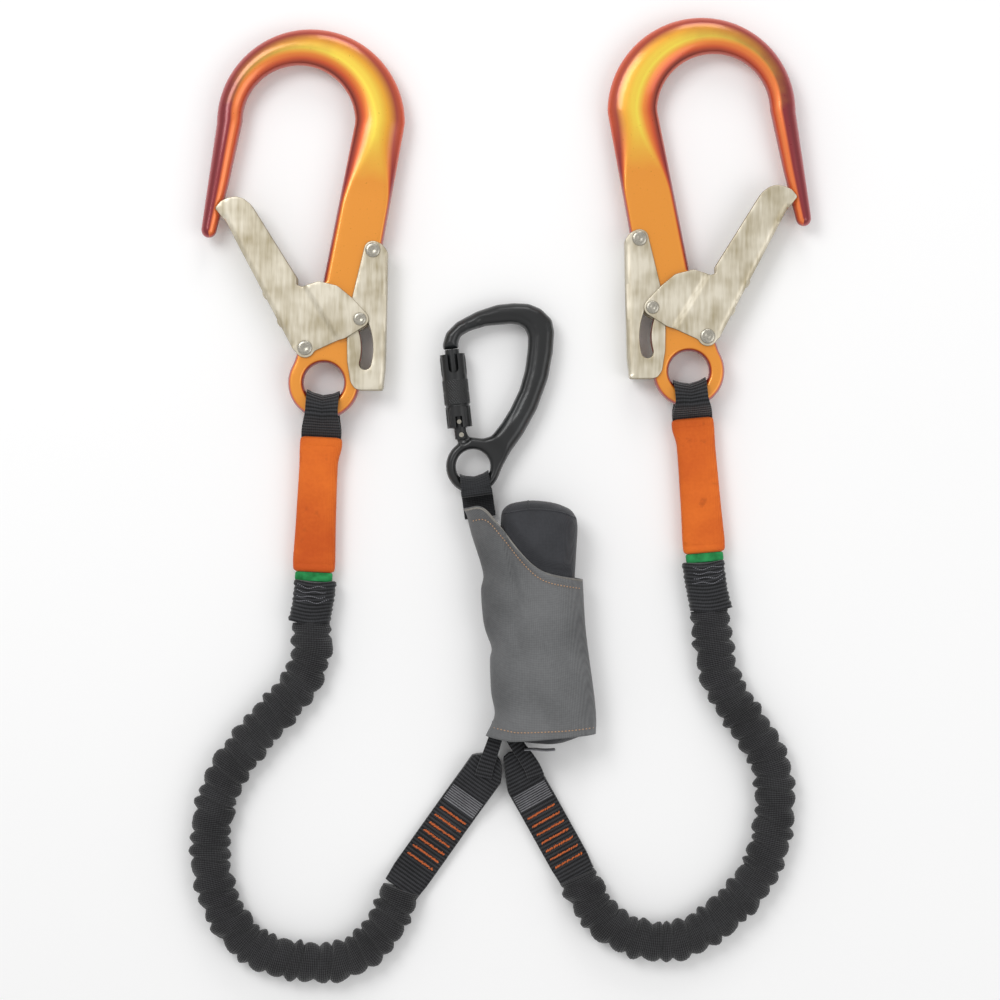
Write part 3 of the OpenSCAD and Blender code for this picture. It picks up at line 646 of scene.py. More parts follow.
@dataclass(frozen=True)
class TurnedSteel:
    """Turned and plated heads, pins and drawn wire."""

    name: str = "rivet_steel"
    tone: str = "CFCABD"

    def make(self) -> bpy.types.Material:
        """Builds the finish."""
        t = Tree(self.name, Metallic=0.8)
        lines = t.noise(1400.0, 2.0)
        return t.finish(t.blend(lines, shade("8F8A7E"), shade(self.tone)), lines * 0.15 + 0.22, lines, 0.00002)


@dataclass(frozen=True)
class BlackAlloy:
    """Black anodised forging: satin, rubbed paler along its ridges."""

    name: str = "black_alloy"

    def make(self) -> bpy.types.Material:
        """Builds the finish."""
        t = Tree(self.name, Metallic=0.3, Coat_Weight=0.35, Coat_Roughness=0.2, Specular_IOR_Level=0.55)
        grain = t.noise(1600.0, 2.0)
        rubbed = t.steps(t.noise(38.0) + t.note("rim") * 0.12, 0.6, 0.8)
        colour = t.blend(rubbed * 0.5, shade("161718"), shade("34383A"))
        return t.finish(colour, grain * 0.12 + 0.3, grain, 0.00003)


@dataclass(frozen=True)
class Ribbed:
    """Webbing or knitted elastic: ribs across its run and yarns along them.

    pitch is the ribs' spacing and yarn that of the yarns, in metres.
    """

    name: str
    dark: str
    light: str
    pitch: float
    yarn: float = 0.0011
    depth: float = 0.0004

    def make(self) -> bpy.types.Material:
        """Builds the finish: height = ribs, yarns and fuzz added up; painted shade makes the valleys darker and the
        ridges lighter, with some random tone.
        """
        t = Tree(self.name, Metallic=0.0, Sheen_Weight=0.25, Sheen_Roughness=0.5, Specular_IOR_Level=0.25)
        along, across = t.lay()
        fuzz = t.noise(700.0, 4.0)
        ribs = t.wave(along + fuzz * 0.0004, self.pitch)
        yarns = t.wave(across + t.noise(220.0, 2.0) * 0.0008, self.yarn)
        height = ribs * 0.55 + yarns * 0.25 + fuzz * 0.35
        # Painted shade: the colour follows the height, valleys dark and ridges light; the slow noise adds random
        # tone.
        lit = t.steps(height + t.noise(45.0, 2.0) * 0.5, 0.55, 1.25)
        return t.finish(t.blend(lit, shade(self.dark), shade(self.light)), 0.85 - lit * 0.15, height, self.depth)


@dataclass(frozen=True)
class Woven:
    """Plain woven cloth in metres of object space: two sets of threads with painted shade between them, patches of
    lighter and darker tone, and fuzz.
    """

    name: str
    dark: str
    light: str
    thread: float = 0.0009
    sheen: float = 0.2
    patch: float = 18.0
    depth: float = 0.00015
    soil: str | None = None

    def make(self) -> bpy.types.Material:
        """Builds the finish."""
        t = Tree(self.name, Sheen_Weight=self.sheen, Sheen_Roughness=0.45, Specular_IOR_Level=0.3)
        split = t.node("ShaderNodeSeparateXYZ", None, {0: t.place()})
        x, y, z = (Value(t, split.outputs[k]) for k in range(3))
        weave = t.wave(x + z, self.thread) * 0.5 + t.wave(y - z, self.thread) * 0.5
        cloud = t.noise(self.patch, 3.0)
        # Mostly random patches of tone; the weave term adds painted shade between the threads.
        lit = t.steps(cloud * 0.8 + weave * 0.15 + t.noise(500.0) * 0.15, 0.4, 0.72)
        colour = t.blend(lit, shade(self.dark), shade(self.light))
        if self.soil:
            spots = t.steps(t.noise(120.0, 5.0), 0.62, 0.72)
            colour = t.blend(spots * 0.55, colour, shade(self.soil))
        return t.finish(colour, 0.75 - weave * 0.08, weave + t.noise(300.0) * 0.8, self.depth)


@dataclass(frozen=True)
class Thread:
    """Sewing thread: plies that wind along each stitch."""

    name: str
    tone: str
    shadow: str

    def make(self) -> bpy.types.Material:
        """Builds the finish."""
        t = Tree(self.name, Sheen_Weight=0.3, Specular_IOR_Level=0.3)
        along, across = t.lay()
        plies = t.wave(along + across * 0.7, 0.0009)
        colour = t.blend(plies * 0.6 + t.noise(260.0) * 0.4, shade(self.shadow), shade(self.tone))
        return t.finish(colour, 0.7 - plies * 0.1, plies, 0.0001)


class Finishes:
    """Every finish of the lanyard, made once."""

    def __init__(self) -> None:
        """Makes the materials."""
        self.alloy = AnodisedOrange().make()
        self.sheet = PlatedSheet().make()
        self.steel = TurnedSteel().make()
        self.wire = TurnedSteel("spring_steel", "A9A9A6").make()
        self.black = BlackAlloy().make()
        self.webbing = Ribbed("black_webbing", "0C0C0E", "3A3B3E", 0.0024).make()
        self.flat_webbing = Ribbed("flat_webbing", "17181A", "323336", 0.0011, 0.0016, 0.0001).make()
        self.elastic = Ribbed("elastic_webbing", "09090A", "3C3C3E", 0.0013, 0.0016, 0.0005).make()
        self.sewn = Ribbed("sewn_webbing", "141416", "86868A", 0.0016, 0.0009, 0.0004).make()
        self.handle = Woven("handle_fabric", "C4500F", "E4701F", 0.0008, 0.1, 22.0, 0.00008, "A8480F").make()
        self.label = Woven("label_fabric", "0D6B33", "2FA35C", 0.0006, 0.1, 160.0).make()
        self.pouch = Woven("pouch_cloth", "4A4B4C", "747576", 0.0011, 0.15, 14.0).make()
        self.hem = Woven("pouch_hem", "6E6B66", "9A968F", 0.0011, 0.15, 40.0).make()
        self.pack = Woven("pack_cloth", "232427", "3A3B3F", 0.0009, 0.2, 26.0).make()
        self.tear = Woven("tear_webbing", "B9B6A8", "D9D7CB", 0.0016, 0.2, 60.0).make()
        self.orange_thread = Thread("orange_thread", "E0762E", "A8451A").make()
        self.beige_thread = Thread("hem_thread", "D8B48E", "8F5F43").make()
        self.grey_thread = Thread("grey_thread", "8C8C92", "4A4A50").make()
        self.tag = Woven("tag_film", "5A5A5E", "8A8A8E", 0.0012, 0.1, 80.0).make()

# ---------------------------------------------------------------- scaffold hooks


def centre_of(node: str) -> np.ndarray:
    """Middle of a CAD node's box, in mm."""
    low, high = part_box(node)
    return (np.array(low) + np.array(high)) / 2 / MM


def joined(*runs) -> np.ndarray:
    """Several runs of points as one."""
    return np.vstack([np.atleast_2d(np.asarray(run, float)) for run in runs])


@dataclass
class ScaffoldHook:
    """One large hook: forged body, folded gate, lever, rivets and lock pin. Sizes in mm."""

    side: Side
    finishes: Finishes
    eye_r: float = 23.0
    bore_r: float = 12.8
    plate_half: float = 6.0
    crown_half: float = 8.0
    nose_half: float = 5.5
    crown_centre: tuple = (-8.3, 166.0)
    crown_r: float = 60.2
    bend_centre: tuple = (-16.0, 167.0)
    bend_r: float = 36.0
    gate_pivot: tuple = (-11.7, 22.1)
    lever_pivot: tuple = (31.6, 84.4)
    lock_reach: float = 39.6
    lock_angle: float = 27.5
    gate_angle: float = 117.7
    sheet_half: float = 0.75
    cheek_z: float = 7.05
    tail_z: float = 8.85
    slot_r: float = 3.8

    def __post_init__(self) -> None:
        """Finds the eye from the gate rivet's place in the model."""
        rivet = centre_of(f"gate_rivet_{self.side.value}")
        self.eye = rivet - np.array([self.side.sign * self.gate_pivot[0], self.gate_pivot[1], 0])
        a = math.radians(self.lock_angle)
        self.lock = np.array(self.gate_pivot) + self.lock_reach * np.array([math.cos(a), math.sin(a)])

    def place(self, points: np.ndarray) -> np.ndarray:
        """From the hook's own frame, its eye at the origin, to the row frame, in mm."""
        return self.eye + points * np.array([self.side.sign, 1, 1])

    def gate_point(self, along, across) -> np.ndarray:
        """A point along the gate's arm and across it, from the gate rivet."""
        a = math.radians(self.gate_angle)
        return np.stack([self.gate_pivot[0] + along * math.cos(a) + across * math.sin(a),
                         self.gate_pivot[1] + along * math.sin(a) - across * math.cos(a)], -1)

    def gate_frame(self, points: np.ndarray) -> tuple:
        """The inverse: how far along and across the gate each point lies."""
        a = math.radians(self.gate_angle)
        x, y = points[:, 0] - self.gate_pivot[0], points[:, 1] - self.gate_pivot[1]
        return x * math.cos(a) + y * math.sin(a), x * math.sin(a) - y * math.cos(a)

    def body_outline(self) -> tuple:
        """Outline of the forging, and how many of its points lie on the outer side.

        The outer side runs up the nose, over the crown and down to the eye; the inner side runs
        back up the neck, round the throat and down to the nose's round end.
        """
        nose = (-73.6, 97.6)
        outer = joined(circle_run(nose, 5, 270, 180, 10), circle_run(self.crown_centre, self.crown_r, 180, 0, 90),
                       [(37.8, 89), (35.6, 74), (31, 60), (19.5, 48)],
                       circle_run(self.gate_pivot, 36.1, 34, -18, 16), [(20.5, 3)],
                       circle_run((0, 0), self.eye_r, -4, -90, 24))
        inner = joined(circle_run((0, 0), self.eye_r, -94, -213, 36),
                       [(-16.8, 20), (-15.5, 26.5), (-1, 62), (1.3, 73.6)],
                       circle_run(self.bend_centre, self.bend_r, 0, 180, 70), [(-60.8, 127.4)],
                       circle_run(nose, 5, 0, -85, 10))
        return outer, inner

    def edge_width(self, at: np.ndarray) -> np.ndarray:
        """Width of the rolled edge: half the bar's width over the crown and nose, narrow below."""
        x, y = at[:, 0], at[:, 1]
        angle = np.degrees(np.arctan2(y - 166, x + 12.15))
        angle = np.where(y < 166, np.where(x < -30, 180, 0), angle)
        bar = 0.97 * (15.95 - 7.7 * angle / 180)
        nose = np.interp(y, [97.6, 127.4, 166], [4.9, 6.5, 8.0])
        bar = np.where((x < -30) & (y < 166), nose, bar)
        spine = np.where(x < np.interp(y, [74, 166], [19.5, 36]), 4.2, 2.4)
        spine = np.where(y < 64, 2.6, spine)
        share = np.where(x < -30, 1.0, ease(y, 112, 160))
        return spine + (bar - spine) * share

    def half_height(self, at: np.ndarray) -> np.ndarray:
        """Half thickness: the flat spine swells to the crown and falls again to the nose."""
        x, y = at[:, 0], at[:, 1]
        nose = self.crown_half + (self.nose_half - self.crown_half) * ease(-y, -166, -100)
        spine = self.plate_half + (self.crown_half - self.plate_half) * ease(y, 118, 166)
        return np.where(x < -30, nose, spine)

    def body_patch(self) -> Patch:
        """The forging as a rolled plate, with the notes across (-1 inside, 1 outside) and way."""
        outer, inner = self.body_outline()
        split = len(outer)
        loop = soft_loop(joined(outer, inner), 0.9, 5)
        bore = circle_run((0, 0), self.bore_r, 0, 360, 81)[:-1]
        patch = rolled_plate([loop, bore], self.half_height, self.edge_width, rings=9, pitch=2.2)
        local = patch.verts / MM
        x, y = local[:, 0], local[:, 1]
        _, which = rim_distance(local[:, :2], [outer, inner])
        is_outer = which < split
        rim = patch.notes["rim"]
        angle = np.where(y < 166, np.where(x < -30, 180, 0), np.degrees(np.arctan2(y - 166, x + 12.15)))
        down = np.where(x < -30, -(166 - y) / 300, (166 - y) / 190)
        way = 0.25 + (180 - angle) / 180 * 0.38 + np.where(y < 166, down, 0)
        patch.notes["across"] = np.where(is_outer, rim, -rim)
        patch.notes["way"] = way
        return patch

    def cheek_lift(self, at: np.ndarray) -> np.ndarray:
        """Middle height of the gate's cheek: up at the crease to the tail, rolled down to the web."""
        start, end = np.array([-13.6, 61.0]), np.array([8.0, 26.2])
        run = (end - start) / np.linalg.norm(end - start)
        beyond = (at - start) @ np.array([-run[1], run[0]])
        along, across = self.gate_frame(at)
        tail = ease(beyond, 0.4, 3.2)
        roll = np.clip((-4.2 - across) / 3.1, 0, 1) * ease(along, 1, 7) * (1 - ease(along, 97, 101))
        return self.cheek_z + (self.tail_z - self.cheek_z) * tail - 2.3 * (1 - np.sqrt(1 - roll**2))

    def gate_patches(self) -> list:
        """The folded gate: two cheeks with their crease, a rolled web between them and two grip bumps."""
        def g(*pairs) -> np.ndarray:
            """Points given along and across the gate."""
            pairs = np.array(pairs, float)
            return self.gate_point(pairs[:, 0], pairs[:, 1])

        lock = self.lock
        outline = joined(
            g((2, -7.3), (94, -7.3), (97.5, -8.0), (105.5, -9.5), (107.8, -4), (107.6, 1), (106, 6), (102.5, 9.5),
              (98.4, 11.4), (97, 12), (42, 16.2), (38, 14)),
            [(-13.6, 61), (-3, 64.6), (9, 61.6), (18.4, 53.9)], circle_run(lock, 5.6, 48, -62, 12),
            [lock + (3.4, -4.4), (14, 28), (8.1, 26.2)], circle_run(self.gate_pivot, 6.4, -20, -165, 12))
        loop = soft_loop(outline, 0.8, 2)
        holes = [circle_run(self.gate_pivot, 3.05, 0, 360, 33)[:-1], circle_run(lock, 2.55, 0, 360, 33)[:-1]]
        cheek = rolled_plate([loop] + holes, self.sheet_half, 0.55, self.cheek_lift, 2.4, 3)
        other = Patch(cheek.verts * [1, 1, -1], cheek.faces, cheek.uvs, cheek.notes)
        along = np.linspace(4, 97.5, 60)
        a = np.linspace(0, 2 * math.pi, 28, endpoint=False)
        out = -6.55 + 0.75 * np.sign(np.cos(a)) * np.abs(np.cos(a)) ** 0.5
        high = 5.5 * np.sign(np.sin(a)) * np.abs(np.sin(a)) ** 0.35
        base = self.gate_point(along[:, None], out[None, :])
        web = np.concatenate([base, np.broadcast_to(high, base.shape[:2])[..., None]], -1)
        patches = [cheek, other, grid_patch(web * MM, wrap_v=True, caps=True)]
        for at in (22, 42):
            t, p = np.meshgrid(np.linspace(0.02, math.pi - 0.02, 9), np.linspace(0, 2 * math.pi, 20, endpoint=False),
                               indexing="ij")
            place = self.gate_point(at + 3 * np.sin(t) * np.cos(p), -7.2 + 1.3 * np.cos(t))
            bump = np.concatenate([place, (4 * np.sin(t) * np.sin(p))[..., None]], -1)
            patches.append(grid_patch(bump * MM, wrap_v=True, caps=True))
        return patches

    def lever_back(self, at: np.ndarray) -> np.ndarray:
        """How far each point lies inside the lever's back edge."""
        return np.interp(at[:, 1], [-4.8, 8.7, 60, 83.6], [37.7, 39.4, 40.6, 41.0]) - at[:, 0]

    def lever_lift(self, at: np.ndarray) -> np.ndarray:
        """Middle height of the lever's cheek, rolled down to its web along the back."""
        roll = np.clip((3.0 - self.lever_back(at)) / 3.0, 0, 1)
        roll = roll * ease(at[:, 1], -5, -1) * (1 - ease(at[:, 1], 80, 85))
        return self.cheek_z - 2.3 * (1 - np.sqrt(1 - roll**2))

    def lever_patches(self) -> list:
        """The lever: two cheeks, each with the lock pin's curved slot, and a web along the back."""
        outline = joined([(26.1, 86), (18.4, 54.4), (16.6, 40), (15, 28), (15.2, 13), (17.3, 0), (20, -4),
                          (22.5, -4.8), (37.7, -4.8), (39.4, 8.7), (40.6, 60), (41, 83.6), (37.7, 88)],
                         circle_run(self.lever_pivot, 6, 60, 150, 8))
        loop = soft_loop(outline, 0.8, 3)
        pivot, reach, r = self.gate_pivot, self.lock_reach, self.slot_r
        first, last = self.lock_angle, self.lock_angle - 42.4
        ends = [circle_run(pivot, reach, a, a, 1)[0] for a in (first, last)]
        slot = joined(circle_run(pivot, reach + r, first, last, 30), circle_run(ends[1], r, last, last - 180, 14),
                      circle_run(pivot, reach - r, last, first, 30), circle_run(ends[0], r, first + 180, first, 14))
        holes = [soft_loop(slot, 0.8, 1), circle_run(self.lever_pivot, 3.05, 0, 360, 33)[:-1]]
        cheek = rolled_plate([loop] + holes, self.sheet_half, 0.55, self.lever_lift, 2.4, 3)
        other = Patch(cheek.verts * [1, 1, -1], cheek.faces, cheek.uvs, cheek.notes)
        y = np.linspace(-4.2, 83, 50)
        a = np.linspace(0, 2 * math.pi, 28, endpoint=False)
        back = np.interp(y, [-4.8, 8.7, 60, 83.6], [37.7, 39.4, 40.6, 41.0])[:, None]
        out = back - 0.75 + 0.75 * np.sign(np.cos(a)) * np.abs(np.cos(a)) ** 0.5
        high = np.broadcast_to(5.5 * np.sign(np.sin(a)) * np.abs(np.sin(a)) ** 0.35, out.shape)
        web = np.stack([out, np.broadcast_to(y[:, None], out.shape), high], -1)
        return [cheek, other, grid_patch(web * MM, wrap_v=True, caps=True)]

    def rivet_patch(self, pos: tuple, r: float, head: float, low: float) -> Patch:
        """A rivet: shank and two domed heads, each with a shallow turned dimple."""
        half = [(0.001, 0.85), (0.22, 0.9), (0.36, 1.12), (0.6, 1.2), (0.86, 1.0), (0.97, 0.62), (1.0, 0.3),
                (1.0, 0.0)]
        top = [(head * a, low + h) for a, h in half] + [(r, low)]
        profile = top + [(a, -h) for a, h in top[::-1]]
        return lathe_patch(np.array(profile), (pos[0], pos[1], 0), 40)

    def build(self) -> None:
        """Makes and dresses every piece of the hook."""
        s, f = self.side.value, self.finishes
        def put(name: str, patches: list, finish, body: str, sharp: float = 50.0, slot: str = "") -> None:
            """One piece of this hook in its place."""
            make_piece(f"{name}_{s}", [moved(p, self.place) for p in patches], finish, f"{body}_{s}",
                       (f"{slot or name}_{s}",), sharp)

        put("forged_hook", [self.body_patch()], f.alloy, "hook", 80, "hook_body")
        put("folded_gate", self.gate_patches(), f.sheet, "gate", 40, "gate")
        put("squeeze_lever", self.lever_patches(), f.sheet, "lever", 40, "lever")
        sheet_top = self.cheek_z + self.sheet_half
        put("gate_rivet_heads", [self.rivet_patch(self.gate_pivot, 3, 4.8, sheet_top)], f.steel, "hook", 35,
            "gate_rivet")
        put("lever_rivet_heads", [self.rivet_patch(self.lever_pivot, 3, 4.8, sheet_top)], f.steel, "hook", 35,
            "lever_rivet")
        put("lock_pin_heads", [self.rivet_patch(tuple(self.lock), 2.5, 4.2, self.tail_z + self.sheet_half)], f.steel,
            "gate", 35, "lock_pin")
        for spring in ("gate_spring", "lever_spring"):
            dress_node(f"{spring}_{s}", f.wire)

# ---------------------------------------------------------------- sewing


def stitch_patch(path: np.ndarray, run: np.ndarray, radius: float) -> Patch:
    """Many small stitches: each a six-sided grain, thick in its middle, along its own direction.

    Args:
        path: (n, 3) middles of the stitches, in mm.
        run: (n, 3) half lengths with their directions, in mm.
        radius: half thickness of the thread, in mm.

    Returns:
        One patch that holds them all.
    """
    along = np.linspace(-1, 1, 5)
    thick = radius * np.sqrt(np.clip(1.04 - along**2, 0, 1))
    a = np.linspace(0, 2 * math.pi, 6, endpoint=False)
    unit = run / np.linalg.norm(run, axis=1)[:, None]
    side = np.cross(unit, [0, 0, 1.0])
    side /= np.linalg.norm(side, axis=1)[:, None]
    up = np.cross(side, unit)
    ring = thick[None, :, None, None] * (np.cos(a)[None, None, :, None] * side[:, None, None]
                                         + np.sin(a)[None, None, :, None] * up[:, None, None])
    points = path[:, None, None] + along[None, :, None, None] * run[:, None, None] + ring
    one = grid_patch(points[0] * MM, wrap_v=True, caps=True)
    count = len(one.verts)
    faces = [[k * count + v for v in face] for k in range(len(path)) for face in one.faces]
    return Patch(points.reshape(-1, 3) * MM, faces, np.tile(one.uvs, (len(path), 1)))


def tube_patch(path: np.ndarray, radius: float, sides: int = 10) -> Patch:
    """A round cord or welt carried along a path, in mm."""
    a = np.linspace(0, 2 * math.pi, sides, endpoint=False)
    offsets = np.broadcast_to(radius * np.stack([np.cos(a), np.sin(a)], 1), (len(path), sides, 2))
    return grid_patch(carry(path, offsets) * MM, wrap_v=True, caps=True)


# ---------------------------------------------------------------- webbing, handles, cuffs


@dataclass
class WebbingEnd:
    """Webbing that runs round a ring and comes back on itself. Sizes in mm, lean in degrees."""

    ring: np.ndarray
    lean: float
    bar: float
    ring_half_w: float
    full_w: float
    low_r: float
    spread: float
    meet: float
    tail: float
    tail_z: float
    web_t: float = 2.2
    rib: float = 2.6
    hidden: float = 1000.0
    hidden_trim: float = 4.5

    def place(self, points: np.ndarray) -> np.ndarray:
        """From the strap's frame (origin at the ring's centre, -Y along the strap) to the row frame."""
        return turned(points, self.lean) + np.array([self.ring[0], self.ring[1], 0])

    def loop_patch(self) -> Patch:
        """The strap: out along the lower layer, round the ring's bar, and back along the upper one.

        Inside the ring its edges stand further out than its middle, by spread * (x / half width)^2,
        because the ring's bore curves away from it.
        """
        z, r = self.ring[2], self.low_r + self.web_t / 2
        low, high = self.tail_z - self.web_t / 2, self.tail_z + self.web_t / 2
        a = np.radians(np.linspace(-90, 90, 22))
        path = joined([(-self.tail, low), (-self.meet - 6, low), (-self.meet, low), (-self.bar - 4, z - r * 0.97)],
                      np.stack([-self.bar + r * np.cos(a), z + r * np.sin(a)], 1),
                      [(-self.bar - 4, z + r * 0.93), (-self.meet, high + 0.2), (-self.meet - 6, high),
                       (-self.tail, high)])
        path = flowing_run(path, int((2 * self.tail + 30) / self.rib * 5))
        for _ in range(3):
            path[1:-1] = 0.25 * path[:-2] + 0.5 * path[1:-1] + 0.25 * path[2:]
        path = np.column_stack([np.zeros(len(path)), path])
        in_ring = ease(path[:, 1], -self.meet + 1, -self.bar + 1)
        width = self.full_w + (2 * self.ring_half_w - self.full_w) * in_ring
        width -= self.hidden_trim * (1 - ease(path[:, 1], -self.hidden - 4, -self.hidden))
        length = np.concatenate([[0], np.cumsum(np.linalg.norm(np.diff(path, axis=0), axis=1))])
        thick = (self.web_t - 0.25) * (1 + 0.09 * np.cos(2 * math.pi * length / self.rib))
        offsets = band_section(44, width, thick, 7)
        points = carry(path, offsets, (1, 0, 0))
        x = points[..., 0] / self.ring_half_w
        y, up = path[:, 1] + self.bar, path[:, 2] - z
        reach = np.hypot(y, up) + 1e-6
        share = (in_ring * np.clip(y / reach, 0, 1))[:, None] * x**2 * self.spread
        rise = (in_ring * np.clip(up / reach, 0, 1))[:, None] * x**2 * self.spread * 0.5
        notch = (in_ring * ease(up, -2, 5))[:, None] * 0.9 * np.exp(-((x / 0.22) ** 2))
        points[..., 1] += share - notch * 0.7
        points[..., 2] += rise - notch * 0.5
        return moved(grid_patch(points * MM, wrap_v=True, caps=True), self.place)


@dataclass
class HookEnd(WebbingEnd):
    """What hangs on one hook: its strap, handle sleeve, label and cuff."""

    side: Side = Side.LEFT
    hidden: float = 36.0
    start: float = 34.6
    handle_len: float = 86.5
    cuff_end: float = 153.5

    def handle_patch(self) -> Patch:
        """The handle: a flattened sleeve whose outline flares at its top, on the side towards the pouch."""
        y = np.linspace(0, self.handle_len, 120)
        flare = np.interp(y, [0, 4, 8, 15, 30, 60, 80, 86.5], [13.2, 13.9, 13.4, 11.6, 11.7, 12.5, 13.4, 13.2])
        plain = np.interp(y, [0, 5, 20, 60, 80, 86.5], [13.1, 13.5, 13.0, 13.4, 13.9, 13.3])
        flare, plain = (np.convolve(np.pad(w, 4, "edge"), np.ones(9) / 9, "valid") for w in (flare, plain))
        end = np.sqrt(np.clip(1 - np.clip((y - self.handle_len + 2.6) / 2.6, 0, 1) ** 2, 0, 1))
        top = np.sqrt(np.clip(1 - np.clip((2.2 - y) / 2.2, 0, 1) ** 2, 0, 1))
        closed = 0.84 + 0.16 * np.minimum(end, top)
        offsets = band_section(56, np.full(len(y), 2.0), 9.6 * (0.62 + 0.38 * np.minimum(end, top)), 3.2)
        points = np.zeros((len(y), 56, 3))
        inner = offsets[..., 0] * self.side.sign > 0
        points[..., 0] = offsets[..., 0] * np.where(inner, flare[:, None], plain[:, None]) * closed[:, None]
        points[..., 1] = -self.start - y[:, None]
        dent = 0.35 * ripple(y / 60 + 3, 5)[:, None] * (1 - np.abs(offsets[..., 0]))
        crown = 0.5 * (1 - offsets[..., 0] ** 2) * np.sign(offsets[..., 1])
        points[..., 2] = self.tail_z + offsets[..., 1] + dent + crown * 0.6
        hem = np.exp(-(((y - 6) / 0.7) ** 2)) + np.exp(-(((y - self.handle_len + 5) / 0.7) ** 2))
        points[..., 2] -= 0.35 * hem[:, None] * np.sign(offsets[..., 1])
        return moved(grid_patch(points * MM, wrap_v=True, caps=True), self.place)

    def band_patch(self, first: float, last: float, width: float, height: float, power: float) -> Patch:
        """A plain band round the strap between two distances below the eye."""
        y = np.linspace(first, last, 14)
        ends = 1 - 0.06 * (np.abs(np.linspace(-1, 1, 14)) ** 6)
        points = np.zeros((14, 44, 3))
        offsets = band_section(44, width * ends, height * ends, power)
        points[..., 0], points[..., 2] = offsets[..., 0], self.tail_z + offsets[..., 1]
        points[..., 1] = -y[:, None]
        return moved(grid_patch(points * MM, wrap_v=True, caps=True), self.place)

    def cuff_patch(self) -> Patch:
        """The cuff: stitched-down elastic with crosswise folds, leaning out at its lower outer corner."""
        top = self.start + self.handle_len + 5.9
        y = np.linspace(0, self.cuff_end - top, 110)
        share = y / y[-1]
        fold = 0.5 * np.cos(2 * math.pi * y / 3.1 + 0.6 * np.sin(y / 3)) * ease(y, 1, 3)
        close = 0.86 + 0.14 * np.sqrt(np.clip(1 - np.clip((1.6 - y) / 1.6, 0, 1) ** 2, 0, 1))
        width = (26.4 + fold + 1.1 * ripple(share + 0.3, 8, 4)) * close
        height = (13.6 + 2.2 * share + 0.5 * fold) * close
        offsets = band_section(52, width, height, 3.4)
        points = np.zeros((len(y), 52, 3))
        lean = (1.2 - 2.6 * share**2) * self.side.sign
        points[..., 0] = offsets[..., 0] + lean[:, None]
        points[..., 1] = -top - y[:, None] - 0.9 * np.cos(offsets[..., 0] / 5)
        points[..., 2] = self.tail_z + offsets[..., 1]
        return moved(grid_patch(points * MM, wrap_v=True, caps=True), self.place)

    def cuff_thread(self) -> Patch:
        """Four wavy rows of grey thread across the cuff's face."""
        top = self.start + self.handle_len + 5.9
        rows = []
        for k, below in enumerate((3.2, 6.3, 9.4, 12.5)):
            x = np.linspace(-9.5, 10.5, 17) * self.side.sign
            y = -top - below + 0.7 * np.sin(x / 2.1 + k) - 0.9 * np.cos(x / 5)
            z = self.tail_z + 7.15 + 0.06 * below - 0.0016 * np.abs(x) ** 3
            rows.append(np.stack([x, y, z], 1))
        middle = self.place(np.vstack(rows))
        run = np.tile(self.place(np.array([[0.52, 0.06, 0]])) - self.place(np.zeros((1, 3))), (len(middle), 1))
        return stitch_patch(middle, run, 0.34)

    def build(self, f: Finishes) -> None:
        """Makes and dresses the pieces."""
        s, low = self.side.value, self.start + self.handle_len
        make_piece(f"eye_webbing_{s}", [self.loop_patch()], f.webbing, "root", (f"hook_strap_{s}",))
        make_piece(f"handle_sleeve_{s}", [self.handle_patch()], f.handle, "root", (f"handle_{s}",), 60)
        make_piece(f"size_label_{s}", [self.band_patch(low + 0.2, low + 5.8, 24.0, 6.2, 5)], f.label, "root",
                   (f"label_{s}",))
        make_piece(f"stitched_cuff_{s}", [self.cuff_patch()], f.webbing, "root", (f"cuff_{s}",), 70)
        make_piece(f"cuff_thread_{s}", [self.cuff_thread()], f.grey_thread, "root")


# ---------------------------------------------------------------- elastic legs and leg straps


